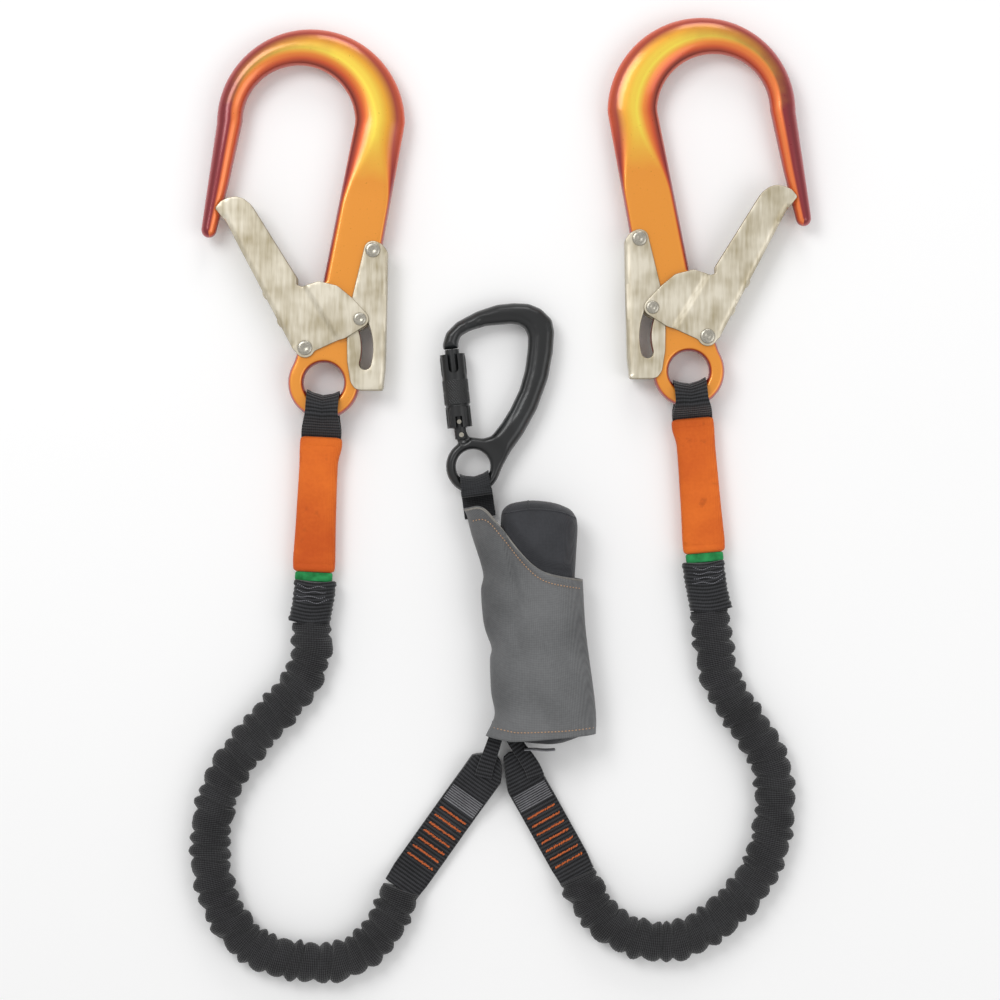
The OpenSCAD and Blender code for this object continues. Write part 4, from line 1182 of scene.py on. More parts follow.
@dataclass
class ElasticLeg:
    """One pleated elastic leg, a tube of gathered webbing that lies on the floor. Sizes in mm."""

    side: Side
    start: np.ndarray
    route: list
    end: np.ndarray
    width: float = 26.6
    height: float = 16.9
    diameter: float = 24.0
    pleat: float = 9.6
    sides: int = 40

    def pleats(self, path: np.ndarray) -> np.ndarray:
        """The gathered tube: its oval shrinks by a share into a sharp valley between rounded pleats.

        Pleat number n = length / pleat, slanted round the tube by a fifth of a pleat; the share lost is
        depth * (1 - |sin(pi n)|^0.55), deepest at both sides.
        """
        length = np.concatenate([[0], np.cumsum(np.linalg.norm(np.diff(path, axis=0), axis=1))])
        a = np.linspace(0, 2 * math.pi, self.sides, endpoint=False)
        seed = SEED + self.side.sign
        drift = 0.35 * ripple(length / 90, seed)
        slant = 0.16 * ripple(length / 70, seed + 3)[:, None] + 0.14
        number = (length / self.pleat + drift)[:, None] + slant * np.cos(a) + 0.1 * np.sin(2 * a)
        lobe = np.abs(np.sin(math.pi * number)) ** 0.55
        depth = 0.15 + 0.17 * np.abs(np.cos(a)) ** 1.5
        each = 0.05 * np.sin(2.4 * np.floor(number) + seed) * np.abs(np.cos(a))
        size = 1 - depth * (1 - lobe) + each * lobe
        join = ease(length, 0, 5)[:, None] * (1 - ease(length, length[-1] - 5, length[-1]))[:, None]
        size = size * join + 0.9 * (1 - join)
        yarn = 1 + 0.012 * np.sin(2 * math.pi * number * 6)
        x = self.width / 2 * np.sign(np.cos(a)) * np.abs(np.cos(a)) ** 0.9 * size * yarn
        z = self.height / 2 * np.sin(a) * np.minimum(size * 1.04, 1.0)
        return np.stack([x, z], -1)

    def build(self, f: Finishes) -> None:
        corners = np.column_stack([joined(self.start, self.route, self.end),
                                   np.full(len(self.route) + 2, self.height / 2)])
        rough = flowing_run(corners, 900)
        length = np.linalg.norm(np.diff(rough, axis=0), axis=1).sum()
        path = flowing_run(corners, int(length / 0.85))
        for _ in range(40):
            path[1:-1] = 0.25 * path[:-2] + 0.5 * path[1:-1] + 0.25 * path[2:]
        length = np.linalg.norm(np.diff(path, axis=0), axis=1).sum()
        s = self.side.value
        skin = grid_patch(carry(path, self.pleats(path)) * MM, wrap_v=True, caps=True)
        leg = make_piece(f"pleated_leg_{s}", [skin],
                         f.elastic, "root", (f"elastic_leg_{s}",), 180)
        self.diameter * MM


@dataclass
class LegStrap:
    """The flat end of a leg: doubled webbing with orange bar tacks, looped at the absorber. Sizes in mm."""

    side: Side
    top: tuple
    turn: float
    length: float
    first_tack: float
    cut: float
    width: float = 25.6
    pitch: float = 6.0
    tacks: int = 7
    meet: tuple = ((-3.6, -180.0), (0.6, -225.0))

    def place(self, points: np.ndarray) -> np.ndarray:
        """From the strap's frame (-Y along the strap from its head) to the row frame."""
        return turned(points, self.turn) + np.array([self.top[0], self.top[1], 0])

    def face(self, along: np.ndarray) -> np.ndarray:
        """Height of the strap's upper face: high over the lower loop, low beyond it, up into the leg."""
        return np.interp(along, [0, 2, 20, 40, self.length - 8, self.length], [10.9, 12.6, 12.2, 6.0, 6.0, 12.0])

    def strap_patch(self) -> Patch:
        """Both layers as one ribbed band, its head pressed against the other strap's along the meeting line."""
        along = np.linspace(0, self.length, int(self.length * 2.4))
        high = np.convolve(np.pad(self.face(along), 8, "edge"), np.ones(17) / 17, "valid")
        rib = 0.16 * np.cos(2 * math.pi * along / 2.3)
        gather = 0.5 * np.exp(-((along - 12) / 9) ** 2) * np.cos(2 * math.pi * along / 3.7)
        thick = high - 0.6 + rib + (gather if self.side is Side.RIGHT else 0)
        narrow = 1 - 0.06 * ease(along, self.length - 12, self.length)
        offsets = band_section(64, self.width * narrow, thick, 6)
        points = np.zeros((len(along), 64, 3))
        points[..., 0] = offsets[..., 0]
        bow = 0.9 * (1 - (offsets[..., 0] / self.width * 2) ** 2)
        points[..., 1] = -along[:, None] - bow * np.exp(-((along - 10) / 14) ** 2)[:, None]
        points[..., 2] = 0.6 + (high - 0.6)[:, None] / 2 + offsets[..., 1]
        points[..., 2] -= 0.5 * np.exp(-((np.abs(offsets[..., 0]) - self.width / 2 + 1.8) / 0.5) ** 2) \
            * (offsets[..., 1] > 0)
        patch = moved(grid_patch(points * MM, wrap_v=True, caps=True), self.place)
        v = patch.verts / MM
        line = np.interp(v[:, 1], [self.meet[1][1], self.meet[0][1]], [self.meet[1][0], self.meet[0][0]])
        sign = 1 if self.side is Side.RIGHT else -1
        near = (v[:, 0] - line) * sign
        upper = v[:, 1] > self.meet[1][1]
        pressed = np.where(near > 2, near, 0.2 + 1.8 * np.exp((np.minimum(near, 2) - 2) / 6))
        v[:, 0] = np.where(upper, line + sign * pressed, v[:, 0])
        over = self.cut - v[:, 1]
        v[:, 1] = self.cut - np.where(over > 1.5, over, 0.2 + 1.3 * np.exp((np.minimum(over, 1.5) - 1.5) / 4))
        return Patch(v * MM, patch.faces, patch.uvs)

    def band_patch(self) -> Patch:
        """The paler sewn band that holds the folded end down, just above the tacks."""
        along = np.linspace(self.first_tack - 17, self.first_tack - 5.5, 46)
        high = self.face(along)
        thick = 0.7 + 0.16 * np.cos(2 * math.pi * along / 1.7)
        offsets = band_section(40, np.full(len(along), self.width - 2.4), thick, 4)
        points = np.zeros((len(along), 40, 3))
        points[..., 0], points[..., 1] = offsets[..., 0], -along[:, None]
        points[..., 2] = (high + 0.45)[:, None] + offsets[..., 1]
        return moved(grid_patch(points * MM, wrap_v=True, caps=True), self.place)

    def tack_patch(self) -> Patch:
        """Bar tacks: rows of tight slanted stitches across the strap."""
        source = np.random.default_rng(SEED + self.side.sign)
        x = np.tile(np.linspace(-9.6, 9.6, 26), self.tacks)
        along = np.repeat(self.first_tack + self.pitch * np.arange(self.tacks), 26)
        wobble = source.normal(0, 0.12, (2, len(x)))
        middle = np.stack([x + wobble[0], -along + wobble[1], np.full(len(x), 6.35)], 1)
        ends = np.stack([np.full(len(x), 0.42), 0.72 + wobble[0], np.zeros(len(x))], 1)
        return stitch_patch(self.place(middle), turned(ends, self.turn), 0.4)

    def build(self, f: Finishes) -> None:
        """Makes and dresses the pieces."""
        s = self.side.value
        make_piece(f"ribbed_strap_{s}", [self.strap_patch()], f.webbing, "root", (f"leg_strap_{s}",), 60)
        make_piece(f"sewn_band_{s}", [self.band_patch()], f.sewn, "root")
        make_piece(f"tack_stitches_{s}", [self.tack_patch()], f.orange_thread, "root", (f"bar_tacks_{s}",))

# ---------------------------------------------------------------- energy absorber


@dataclass
class Absorber:
    """The tear-webbing pack in its cloth pouch, with its lower loop and end tag. Sizes in mm."""

    finishes: Finishes
    height: float = 34.0
    wall: float = 1.2
    pack_inset: float = 2.6
    voxel: float = 3.0
    pressure: float = 4.0
    cloth_steps: int = 20
    move_cap: float = 5.0
    front_room: float = 1.5
    back_room: float = 1.3
    left: list = field(default_factory=lambda: [
        (-12.1, -178.4), (-6.4, -165), (-8.6, -150), (-9.3, -130), (-8.4, -122), (-13.2, -107), (-15, -86),
        (-13.8, -74), (-21.2, -49.5), (-24, -38), (-26.4, -33.5)])
    right: list = field(default_factory=lambda: [
        (57, -177), (57.3, -168), (56, -152), (50.8, -112.5), (49, -84), (48.7, -78.6)])
    bottom: list = field(default_factory=lambda: [(-12.1, -178.4), (-1.2, -180.4), (10.2, -181), (57, -177)])
    top: list = field(default_factory=lambda: [
        (-26.4, -33.5), (-15.5, -32.4), (-5.2, -43), (8, -60), (18.2, -70), (28.5, -74.8), (48.7, -78.6)])

    def plan(self, f: np.ndarray, g: np.ndarray) -> np.ndarray:
        """The pouch laid flat: a Coons surface between its left, right, bottom and top edges.

        Args:
            f: share of the way across, from the left edge.
            g: share of the way up, from the bottom edge.

        Returns:
            (..., 2) places.
        """
        def at(run: list, share: np.ndarray) -> np.ndarray:
            """The place at a share of an edge's length."""
            fine = flowing_run(np.array(run), 200)
            return np.stack([np.interp(share, np.linspace(0, 1, 200), fine[:, k]) for k in range(2)], -1)

        low, high, west, east = at(self.bottom, f), at(self.top, f), at(self.left, g), at(self.right, g)
        f, g = f[..., None], g[..., None]
        corners = [np.array(c) for c in (self.bottom[0], self.bottom[-1], self.top[0], self.top[-1])]
        flat = ((1 - f) * (1 - g) * corners[0] + f * (1 - g) * corners[1] + (1 - f) * g * corners[2]
                + f * g * corners[3])
        return (1 - g) * low + g * high + (1 - f) * west + f * east - flat

    def front(self, f: np.ndarray, g: np.ndarray) -> np.ndarray:
        """Height of the front cloth: crowned across its width, with soft folds down from the tongue."""
        side = np.clip(1 - np.abs(2 * f - 1) ** 3.4, 0, 1) ** 0.5
        folds = 0.9 * np.sin(9 * f + 5 * g + 1) * np.sin(math.pi * f) + 0.7 * ripple(1.3 * f + 0.8 * g, 21, 4)
        dip = 2.6 * np.exp(-(((f - 0.24 - 0.12 * g) / 0.07) ** 2)) * ease(g, 0.25, 0.75)
        full = self.height / 2 - self.wall - 0.6
        return self.height / 2 + (full - 1.0) * side + (0.8 * folds - dip) * side - 0.6

    def back(self, f: np.ndarray) -> np.ndarray:
        """Height of the back cloth, flat where it lies on the floor."""
        side = np.clip(1 - np.abs(2 * f - 1) ** 6, 0, 1) ** 0.5
        return self.height / 2 - (self.height / 2 - self.wall / 2 - 0.1) * side

    def pouch_patch(self) -> Patch:
        """The pouch: a tube of cloth open at both ends, front and back meeting in the side seams."""
        f = (1 - np.cos(np.linspace(0, math.pi, 64))) / 2
        g = np.linspace(0, 1, 96)
        fs, gs = np.meshgrid(f, g, indexing="ij")
        flat = self.plan(fs, gs)
        front = np.concatenate([flat, self.front(fs, gs)[..., None]], -1)
        back = np.concatenate([flat, self.back(fs)[..., None]], -1)
        lip = 0.8 * ease(gs, 0.955, 0.965) * np.sin(math.pi * fs) ** 0.3
        front[..., 2] += lip
        seam = (front[:1] + back[:1]) / 2
        ring = np.concatenate([front, back[-2:0:-1]], 0)
        ring[0] = seam[0]
        return grid_patch(ring * MM, wrap_u=True)

    def edge_stitches(self, g: float, count: int, rise: float) -> Patch:
        """A row of stitches across the front cloth at a share of its height."""
        f = np.linspace(0.03, 0.975, count)
        row = np.column_stack([self.plan(f, np.full(count, g)), self.front(f, np.full(count, g)) + rise])
        run = np.gradient(row, axis=0)
        run *= (0.66 * np.linalg.norm(np.diff(row[:, :2], axis=0), axis=1).mean() / 2
                / np.linalg.norm(run, axis=1))[:, None]
        return stitch_patch(row, run, 0.36)

    def pack_outline(self) -> np.ndarray:
        """Outline of the pack, inside the pouch's edges, standing out at its top and bottom."""
        side = self.pack_inset
        return np.array([
            (-3.6, -34), (-1.5, -31.0), (3, -29.6), (14.2, -27.2), (28.5, -28.2), (40, -31.8), (44, -35), (46.4, -42),
            (48.2 - side + 0.6, -60), (48.7 - side, -78.6), (49 - side, -84), (50.8 - side, -112.5),
            (56 - side, -152), (57 - side, -168), (52, -177.5), (42, -182), (30, -185), (8, -182.6),
            (0, -176), (-5.6 + side, -165),
            (-8.6 + side, -150), (-9.3 + side, -130), (-8.4 + side, -122), (-9 + side, -107), (-9 + side, -86),
            (-8.4 + side, -74), (-7.4 + side, -55)])

    def pack_piece(self) -> bpy.types.Object:
        """The pack: a crowned closed form, remeshed and blown up a little as cloth, held inside the pouch."""
        low, high = 2.6, self.height - 2.6
        loop = soft_loop(self.pack_outline(), 1.4, 4)
        patch = rolled_plate([loop], (high - low) / 2 - 1.2, 10.0, (low + high) / 2, 4.0, 6)
        piece = make_piece("absorber_pack", [patch], self.finishes.pack, "root",
                           ("absorber_cover",), 180)
        self.blow_up(piece, low, high)
        self.press_inside(piece)
        return piece

    def blow_up(self, piece: bpy.types.Object, low: float, high: float) -> None:
        """Cloth under slight pressure, each point's move capped; then points outside the outline go back on it.

        Args:
            piece: the pack.
            low: lowest height that it may reach, in mm.
            high: highest height, in mm.
        """
        view = bpy.context.view_layer
        view.objects.active = piece
        remesh = piece.modifiers.new("voxels", "REMESH")
        remesh.mode, remesh.voxel_size = "VOXEL", self.voxel * MM
        remesh.use_smooth_shade = True
        bpy.ops.object.modifier_apply(modifier=remesh.name)
        before = np.zeros(len(piece.data.vertices) * 3)
        piece.data.vertices.foreach_get("co", before)
        cloth = piece.modifiers.new("cloth", "CLOTH")
        cloth.settings.use_pressure = True
        cloth.settings.uniform_pressure_force = self.pressure
        cloth.settings.effector_weights.gravity = 0.0
        cloth.point_cache.frame_start, cloth.point_cache.frame_end = 1, self.cloth_steps
        for step in range(1, self.cloth_steps + 1):
            bpy.context.scene.frame_set(step)
        bpy.ops.object.modifier_apply(modifier=cloth.name)
        bpy.context.scene.frame_set(1)
        after = np.zeros_like(before)
        piece.data.vertices.foreach_get("co", after)
        before, after = before.reshape(-1, 3), after.reshape(-1, 3)
        move = after - before
        far = np.linalg.norm(move, axis=1, keepdims=True) + 1e-9
        after = before + move * np.minimum(1, self.move_cap * MM / far)
        loop = soft_loop(self.pack_outline(), 1.4, 4)
        flat = after[:, :2] / MM
        _, which = rim_distance(flat, [loop])
        outside = ~is_inside(flat, [loop])
        flat[outside] = loop[which[outside]]
        after[:, :2] = flat * MM
        after[:, 2] = np.clip(after[:, 2], low * MM, high * MM)
        piece.data.vertices.foreach_set("co", after.ravel())
        piece.data.update()
        smooth = piece.modifiers.new("smooth", "SMOOTH")
        smooth.factor, smooth.iterations = 0.5, 4
        bpy.ops.object.modifier_apply(modifier=smooth.name)
        finer = piece.modifiers.new("finer", "SUBSURF")
        finer.levels = finer.render_levels = 1
        bpy.ops.object.modifier_apply(modifier=finer.name)
        piece.data.shade_smooth()

    def press_inside(self, piece: bpy.types.Object) -> None:
        """Holds the pack under the pouch's front cloth and over its back, letting go above the opening.

        Args:
            piece: the pack.
        """
        fs, gs = np.meshgrid(np.linspace(0.01, 0.99, 60), np.linspace(0, 1, 90), indexing="ij")
        flat, top, floor = self.plan(fs, gs).reshape(-1, 2), self.front(fs, gs).ravel(), self.back(fs).ravel()
        tree = KDTree(len(flat))
        for k, (x, y) in enumerate(flat):
            tree.insert((x, y, 0), k)
        tree.balance()
        for vertex in piece.data.vertices:
            x, y, z = vertex.co / MM
            _, which, gap = tree.find((x, y, 0))
            share = 1 - float(ease(np.array(gap), 2.0, 9.0))
            lowest, highest = floor[which] + self.back_room, top[which] - self.front_room
            held = min(max(z, lowest), highest)
            vertex.co.z = (z + (held - z) * share) * MM

    def tear_patch(self) -> Patch:
        """The tear webbing folded to and fro in six layers."""
        pitch, turn, near, far = 2.4, np.linspace(-math.pi / 2, math.pi / 2, 9)[1:-1], -64.0, -166.0
        path = []
        for k in range(6):
            ends = (near, far) if k % 2 == 0 else (far, near)
            path += [(24.0, y, 7.0 + pitch * k) for y in np.linspace(*ends, 30)]
            if k < 5:
                out = -1.2 if k % 2 == 0 else 1.2
                middle = 7.0 + pitch * (k + 0.5)
                path += [(24.0, ends[1] + out * math.cos(a), middle + 1.2 * math.sin(a)) for a in turn]
        section = band_section(20, 30.0, 1.8, 5)
        return grid_patch(carry(np.array(path), section, (1, 0, 0)) * MM, wrap_v=True, caps=True)

    def over_pack(self, pack: bpy.types.Object, run: np.ndarray, rise: float) -> np.ndarray:
        """A flat run laid on the pack's upper side, raised by rise."""
        from_above = [pack.ray_cast(Vector((x * MM, y * MM, 0.2)), Vector((0, 0, -1))) for x, y in run]
        high = np.array([hit[1][2] / MM if hit[0] else self.height - 5 for hit in from_above])
        high = np.convolve(np.pad(high, 2, "edge"), np.ones(5) / 5, "valid")
        return np.column_stack([run, high + rise])

    def build(self) -> None:
        """Makes and dresses the pieces."""
        f = self.finishes
        pouch = make_piece("pouch_cloth", [self.pouch_patch()], f.pouch, "root", ("pouch_sleeve",), 70)
        solid = pouch.modifiers.new("cloth_wall", "SOLIDIFY")
        solid.thickness, solid.offset = self.wall * MM, 0.0
        stitches = make_piece("pouch_hem_stitches", [self.edge_stitches(0.94, 44, 1.1)], f.beige_thread, "root")
        lower = make_piece("pouch_low_stitches", [self.edge_stitches(0.045, 30, 0.8)], f.beige_thread, "root")
        welt = self.top_welt()
        pack = self.pack_piece()
        seam = flowing_run(
            np.array([(-1, -36.5), (6, -35.4), (14.5, -34.2), (26, -34.4), (36, -36), (44.5, -39.5)]), 60)
        fold = flowing_run(np.array([(14.4, -28.5), (14.6, -31), (14.5, -34.2)]), 12)
        welts = [tube_patch(self.over_pack(pack, run, 0.05), 0.55, 8) for run in (seam, fold)]
        make_piece("pack_seam", welts, f.pack, "root")
        make_piece("tear_webbing_folds", [self.tear_patch()], f.tear, "root", ("tear_webbing",), 60)
        self.build_lower(f)

    def top_welt(self) -> bpy.types.Object:
        """The folded edge of the pouch's slanting opening, a soft round welt."""
        share = np.linspace(0.004, 0.996, 150)
        top = np.ones_like(share)
        path = np.column_stack([self.plan(share, top * 0.992), self.front(share, top) + 0.5])
        return make_piece("pouch_welt", [tube_patch(path, 0.85, 10)], self.finishes.hem, "root")

    def build_lower(self, f: Finishes) -> None:
        """The two webbing runs of the lower loop, from the pouch over the leg straps' heads, and the tag."""
        runs = {
            "loop_run_left": ([(-4.5, -170, 10), (-5.6, -177, 11), (-7.6, -184, 12.4), (-10.0, -191, 13.6),
                               (-12.4, -198, 13.9), (-14.2, -205, 12.6)], 9.5),
            "loop_run_right": ([(0.5, -170, 10), (3.4, -178, 11), (8.4, -186, 12.4), (13.2, -192.5, 13.7),
                                (17.2, -199, 13.6), (19.6, -205, 11.8)], 9.5),
        }
        patches = []
        for corners, width in runs.values():
            path = flowing_run(np.array(corners), 64)
            along = np.linspace(0, 1, 64)
            thick = 2.2 * (1 + 0.08 * np.cos(2 * math.pi * along * 15))
            wide = width * (0.85 + 0.3 * along)
            patches.append(grid_patch(carry(path, band_section(32, wide, thick, 5)) * MM, wrap_v=True, caps=True))
        make_piece("lower_loop_webbing", patches, f.webbing, "root", ("lower_loop",))
        low, high = (np.array(c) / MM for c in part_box("end_tag"))
        x = np.linspace(low[0] + 0.2, high[0] - 0.2, 40)
        y = (low[1] + high[1]) / 2 + 0.25 * np.sin((x - low[0]) / 3)
        path = np.column_stack([x, y, np.full(40, (low[2] + high[2]) / 2)])
        offsets = band_section(24, np.full(40, 0.8), np.full(40, high[2] - low[2] - 0.6), 6)
        make_piece("folded_tag", [grid_patch(carry(path, offsets) * MM, wrap_v=True, caps=True)], f.tag, "root",
                   ("end_tag",))


# ---------------------------------------------------------------- carabiner


@dataclass
class Carabiner:
    """The pear-shaped carabiner: forged frame with its captive ring, gate and twist sleeve. Sizes in mm."""

    finishes: Finishes
    gate_hinge: tuple = (-7.4, 20.2)
    gate_foot: tuple = (-8.2, 22.4)
    tilt: float = 6.0
    frame_half: float = 6.5
    ring_half: float = 4.6
    ring_r: float = 17.4
    bore_r: float = 11.0
    fork_half: float = 2.5
    sleeve_r: float = 8.0

    def __post_init__(self) -> None:
        """Finds the ring from the gate pin's place in the model."""
        pin = centre_of("gate_pin")
        self.ring = pin - np.array([self.gate_hinge[0], self.gate_hinge[1], 0])

    def place(self, points: np.ndarray) -> np.ndarray:
        """From the carabiner's own frame, its ring at the origin, to the row frame."""
        return points + self.ring

    def half_height(self, at: np.ndarray) -> np.ndarray:
        """Half thickness: full over the frame, thinner round the ring, thinnest in the gate's fork."""
        reach = np.hypot(at[:, 0], at[:, 1])
        half = self.ring_half + (self.frame_half - self.ring_half) * ease(reach, 16.5, 26)
        to_hinge = np.hypot(at[:, 0] - self.gate_hinge[0], at[:, 1] - self.gate_hinge[1])
        return self.fork_half + (half - self.fork_half) * ease(to_hinge, 5.4, 6.6)

    def edge_width(self, at: np.ndarray) -> np.ndarray:
        """Width of the rolled edge: nearly half the bar's width."""
        reach = np.hypot(at[:, 0], at[:, 1])
        to_hinge = np.hypot(at[:, 0] - self.gate_hinge[0], at[:, 1] - self.gate_hinge[1])
        edge = 3.1 + 2.4 * ease(reach, 16, 30)
        edge = np.where((at[:, 0] < -4) & (at[:, 1] > 60), 4.8, edge)
        return np.where(to_hinge < 5.5, 1.2, edge)

    def frame_patch(self) -> Patch:
        """The forging as a rolled plate, with a shallow groove inside its inner bead."""
        outline = joined(
            [(-19.2, 74.5), (-19.5, 78), (-17.4, 85.4), (-10.5, 92.4), (2.4, 99.2), (15.2, 103.5), (26.4, 104.6),
             (35.7, 104.1), (43.4, 100.9), (50.4, 94), (52, 86.3), (51.1, 73.5), (47.9, 56.3), (40.8, 36.7),
             (32.3, 21.2), (23.8, 9.2), (19.1, 0.6)],
            circle_run((0, 0), self.ring_r, -20, -238, 60), circle_run(self.gate_hinge, 4.2, 200, 50, 14),
            [(-2.8, 18.8), (6.7, 17.9), (11.8, 19.5), (17.8, 27.1), (23.8, 36.7), (29.8, 49.5), (33.2, 61.7),
             (34.9, 74.5), (35.3, 82.8), (33.2, 88.1), (28.9, 90.8), (23.8, 91.3), (8.2, 89.9), (-2, 86.8),
             (-7.9, 83.5), (-9.6, 79), (-9.2, 75.6)])
        loop = soft_loop(outline, 0.7, 5)
        holes = [circle_run((0, 0), self.bore_r, 0, 360, 73)[:-1], circle_run(self.gate_hinge, 1.55, 0, 360, 25)[:-1]]
        patch = rolled_plate([loop] + holes, self.half_height, self.edge_width, 0.0, 1.6, 8)
        v = patch.verts / MM
        inner = even_run(np.array([(17.8, 27.1), (23.8, 36.7), (29.8, 49.5), (33.2, 61.7), (34.9, 74.5), (35.3, 82.8),
                                   (33.2, 88.1), (28.9, 90.8), (23.8, 91.3), (8.2, 89.9)]), 200)
        gap = np.concatenate([np.linalg.norm(part[:, None, :2] - inner, axis=2).min(1)
                              for part in np.array_split(v, 8)])
        groove = 0.75 * np.exp(-(((gap - 4.6) / 0.9) ** 2)) * ease(v[:, 1], 24, 36)
        v[:, 2] -= np.sign(v[:, 2]) * groove
        return Patch(v * MM, patch.faces, patch.uvs, patch.notes)

    def sleeve_place(self, points: np.ndarray) -> np.ndarray:
        """From the gate's axis (x across, y along, z up) to the row frame."""
        return self.place(turned(points, self.tilt) + np.array([self.gate_foot[0], self.gate_foot[1], 0]))

    def knurl_patch(self) -> Patch:
        """The grip band: radius falls by the product of two crossing waves, which leaves diamonds."""
        along = np.linspace(17.2, 33.6, 72)
        a = np.linspace(0, 2 * math.pi, 168, endpoint=False)
        hs, angle = np.meshgrid(along, a, indexing="ij")
        cross = np.abs(np.sin(14 * angle + 1.5 * hs)) * np.abs(np.sin(14 * angle - 1.5 * hs))
        edge = ease(hs, 17.2, 17.9) * (1 - ease(hs, 32.9, 33.6))
        ring = 1 - 0.5 * np.exp(-(((hs - 25.4) / 0.5) ** 2))
        r = self.sleeve_r - 0.35 + edge * (0.3 + 0.42 * cross * ring)
        points = np.stack([r * np.cos(angle), hs, r * np.sin(angle)], -1)
        inner = np.stack([(self.sleeve_r - 0.9) * np.cos(angle), hs, (self.sleeve_r - 0.9) * np.sin(angle)], -1)
        both = np.concatenate([points, inner[::-1]], 0)
        return grid_patch(both * MM, wrap_u=True, wrap_v=True)

    def flute_patch(self) -> list:
        """Raised ribs along the sleeve on both sides of its slot, and round its lower end."""
        patches = []
        for first, last, angles in ((35.5, 48.6, (12, 38, 142, 168, 200, 235, 270, 305, 340)),
                                    (3.4, 15.6, (20, 52, 128, 160, 200, 235, 270, 305, 340))):
            for angle in np.radians(angles):
                along = np.linspace(first, last, 16)
                middle = np.stack([(self.sleeve_r - 0.1) * np.cos(angle) + 0 * along, along,
                                   (self.sleeve_r - 0.1) * np.sin(angle) + 0 * along], 1)
                close = np.sqrt(np.clip(1 - np.abs(np.linspace(-1, 1, 16)) ** 6, 0.02, 1))
                offsets = band_section(16, 1.5 * close, 0.9 * close, 2.4)
                across = (-math.sin(angle), 0, math.cos(angle))
                patches.append(grid_patch(carry(middle, offsets, across) * MM, wrap_v=True, caps=True))
        return patches

    def build(self) -> None:
        """Makes and dresses the pieces."""
        f = self.finishes
        make_piece("carabiner_forging", [moved(self.frame_patch(), self.place)], f.black, "carabiner",
                   ("carabiner_frame",), 60)
        for node in ("carabiner_gate", "twist_sleeve"):
            dress_node(node, f.black)
        for node in ("gate_pin", "guide_pin", "gate_plunger", "spring_seat"):
            dress_node(node, f.steel)
        for node in ("plunger_spring", "sleeve_spring"):
            dress_node(node, f.wire)
        make_piece("sleeve_knurl", [moved(self.knurl_patch(), self.sleeve_place)], f.black, "twist_sleeve", (), 70)
        make_piece("sleeve_flutes", [moved(p, self.sleeve_place) for p in self.flute_patch()], f.black,
                   "twist_sleeve", (), 60)
        strap = WebbingEnd(ring=self.ring, lean=8.0, bar=14.2, ring_half_w=9.4, full_w=20.0, low_r=6.0, spread=3.0,
                           meet=17.0, tail=33.0, tail_z=4.2, web_t=2.0, rib=1.6)
        make_piece("carabiner_webbing", [strap.loop_patch()], f.flat_webbing, "root", ("carabiner_strap",))

# ---------------------------------------------------------------- scene

ROUTE_LEFT = [
    (-124.2, -113), (-123.8, -121), (-125.8, -131.5), (-129.5, -142), (-135.5, -150.5), (-142, -158),
    (-149, -166.5), (-157.5, -175), (-166, -186), (-174, -196.5), (-180, -207), (-185.5, -221),
    (-188, -235), (-189.3, -249), (-189, -260), (-186.5, -273.5), (-182, -287.5), (-175, -300),
    (-166, -310.5), (-156, -317), (-145, -321), (-134.5, -323), (-124, -324.3), (-110, -324),
    (-99.5, -321), (-86.5, -312.5), (-77, -300), (-70.5, -287),
]
ROUTE_RIGHT = [
    (131.2, -106), (132.5, -114), (133.5, -124), (135.5, -134), (139, -145), (143.5, -153.5),
    (149, -162), (154, -169.5), (159, -177), (164, -185), (168, -192.5), (170.8, -201), (172.3, -211.5),
    (172.8, -220), (172.2, -231.5), (170, -245.5), (166, -258.5), (158.5, -272.5), (152, -281),
    (143.5, -289.5), (135, -297), (125, -304), (114.5, -309), (102.5, -311), (89.5, -310), (78, -306.5),
    (67.5, -300.5), (59.5, -293), (52.5, -282.5),
]


def build_side(side: Side, finishes: Finishes) -> None:
    """One whole leg of the lanyard, from its hook to the absorber."""
    hook = ScaffoldHook(side, finishes)
    hook.build()
    left = side is Side.LEFT
    lean, start = (-3.1, 34.6) if left else (5.0, 30.0)
    end = HookEnd(ring=hook.eye, lean=lean, bar=17.9, ring_half_w=10.4, full_w=25.5, low_r=8.2, spread=3.4,
                  meet=start - 1, tail=150.0, tail_z=8.5, side=side, start=start)
    end.build(finishes)
    strap = (LegStrap(side, (-5.8, -191.2), -35.4, 105.6, 48.0, -190.0) if left
             else LegStrap(side, (1.9, -189.7), 29.1, 90.5, 43.5, -188.3))
    strap.build(finishes)
    first = end.place(np.array([[0, -end.cuff_end, 0.0]]))[:, :2]
    last = strap.place(np.array([[0, -strap.length, 0.0]]))[:, :2]
    ElasticLeg(side, first, ROUTE_LEFT if left else ROUTE_RIGHT, last).build(finishes)


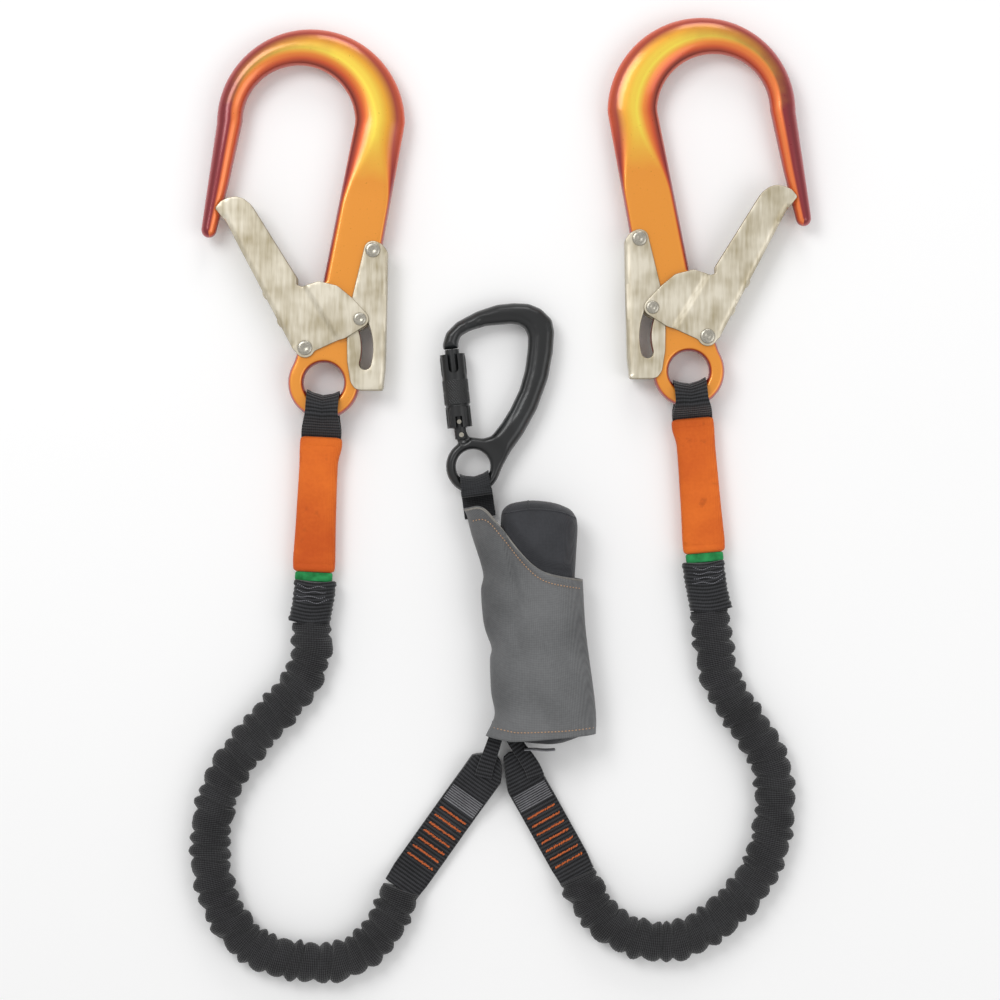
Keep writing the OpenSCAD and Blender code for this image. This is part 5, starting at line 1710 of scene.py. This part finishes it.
def set_the_stage() -> None:
    """Camera straight above, plain floor, soft lamps and a white world."""
    scene = bpy.context.scene
    scene.view_settings.view_transform = "Standard"
    low, high = (np.array(corner) for corner in CAD_BOX)
    middle = (low + high) / 2
    field_width, lens, sensor = 0.640, 100.0, 36.0
    camera = bpy.data.cameras.new("overhead_camera")
    camera.lens, camera.sensor_width = lens, sensor
    eye = bpy.data.objects.new("overhead_camera", camera)
    eye.location = (middle[0] - 0.0009, middle[1] - 0.0003, 0.01 + field_width * lens / sensor)
    scene.collection.objects.link(eye)
    scene.camera = eye

    world = bpy.data.worlds.new("studio")
    scene.world = world
    world.use_nodes = True
    nodes, links = world.node_tree.nodes, world.node_tree.links
    back = nodes["Background"]
    path = nodes.new("ShaderNodeLightPath")
    seen = nodes.new("ShaderNodeMath")
    seen.operation, seen.use_clamp = "ADD", True
    links.new(path.outputs["Is Camera Ray"], seen.inputs[0])
    links.new(path.outputs["Is Transmission Ray"], seen.inputs[1])
    level = nodes.new("ShaderNodeMix")
    level.data_type = "FLOAT"
    level.inputs[2].default_value, level.inputs[3].default_value = 0.62, 1.0
    links.new(seen.outputs[0], level.inputs[0])
    links.new(level.outputs[0], back.inputs["Strength"])
    back.inputs["Color"].default_value = (1, 1, 1, 1)

    size = 4.0
    floor_mesh = bpy.data.meshes.new("floor")
    corners = [(-size, -size, 0), (size, -size, 0), (size, size, 0), (-size, size, 0)]
    floor_mesh.from_pydata(corners, [], [(0, 1, 2, 3)])
    floor = bpy.data.objects.new("floor", floor_mesh)
    floor.location.z = -0.0005
    scene.collection.objects.link(floor)
    t = Tree("floor_white", Roughness=0.9, Specular_IOR_Level=0.1)
    t.shader.inputs["Base Color"].default_value = (0.97, 0.97, 0.97, 1)
    floor_mesh.materials.append(t.material)

    for name, place, energy, width in (("key", (-0.9, 0.9, 1.6), 13.0, 0.9), ("fill", (1.2, -0.4, 1.5), 6.0, 1.2),
                                       ("rim", (0.2, 1.5, 0.8), 4.0, 0.6)):
        lamp = bpy.data.lights.new(f"{name}_lamp", "AREA")
        lamp.energy, lamp.size = energy, width
        holder = bpy.data.objects.new(f"{name}_lamp", lamp)
        holder.location = place
        holder.rotation_euler = (Vector((0, 0, 0)) - Vector(place)).to_track_quat("-Z", "Y").to_euler()
        scene.collection.objects.link(holder)


def main() -> None:
    """Builds the lanyard, piece by piece."""
    logging.basicConfig(level=logging.INFO, format="%(name)s: %(message)s")
    set_the_stage()
    finishes = Finishes()
    for side in Side:
        build_side(side, finishes)
    Absorber(finishes).build()
    Carabiner(finishes).build()


if __name__ == "__main__":
    main()
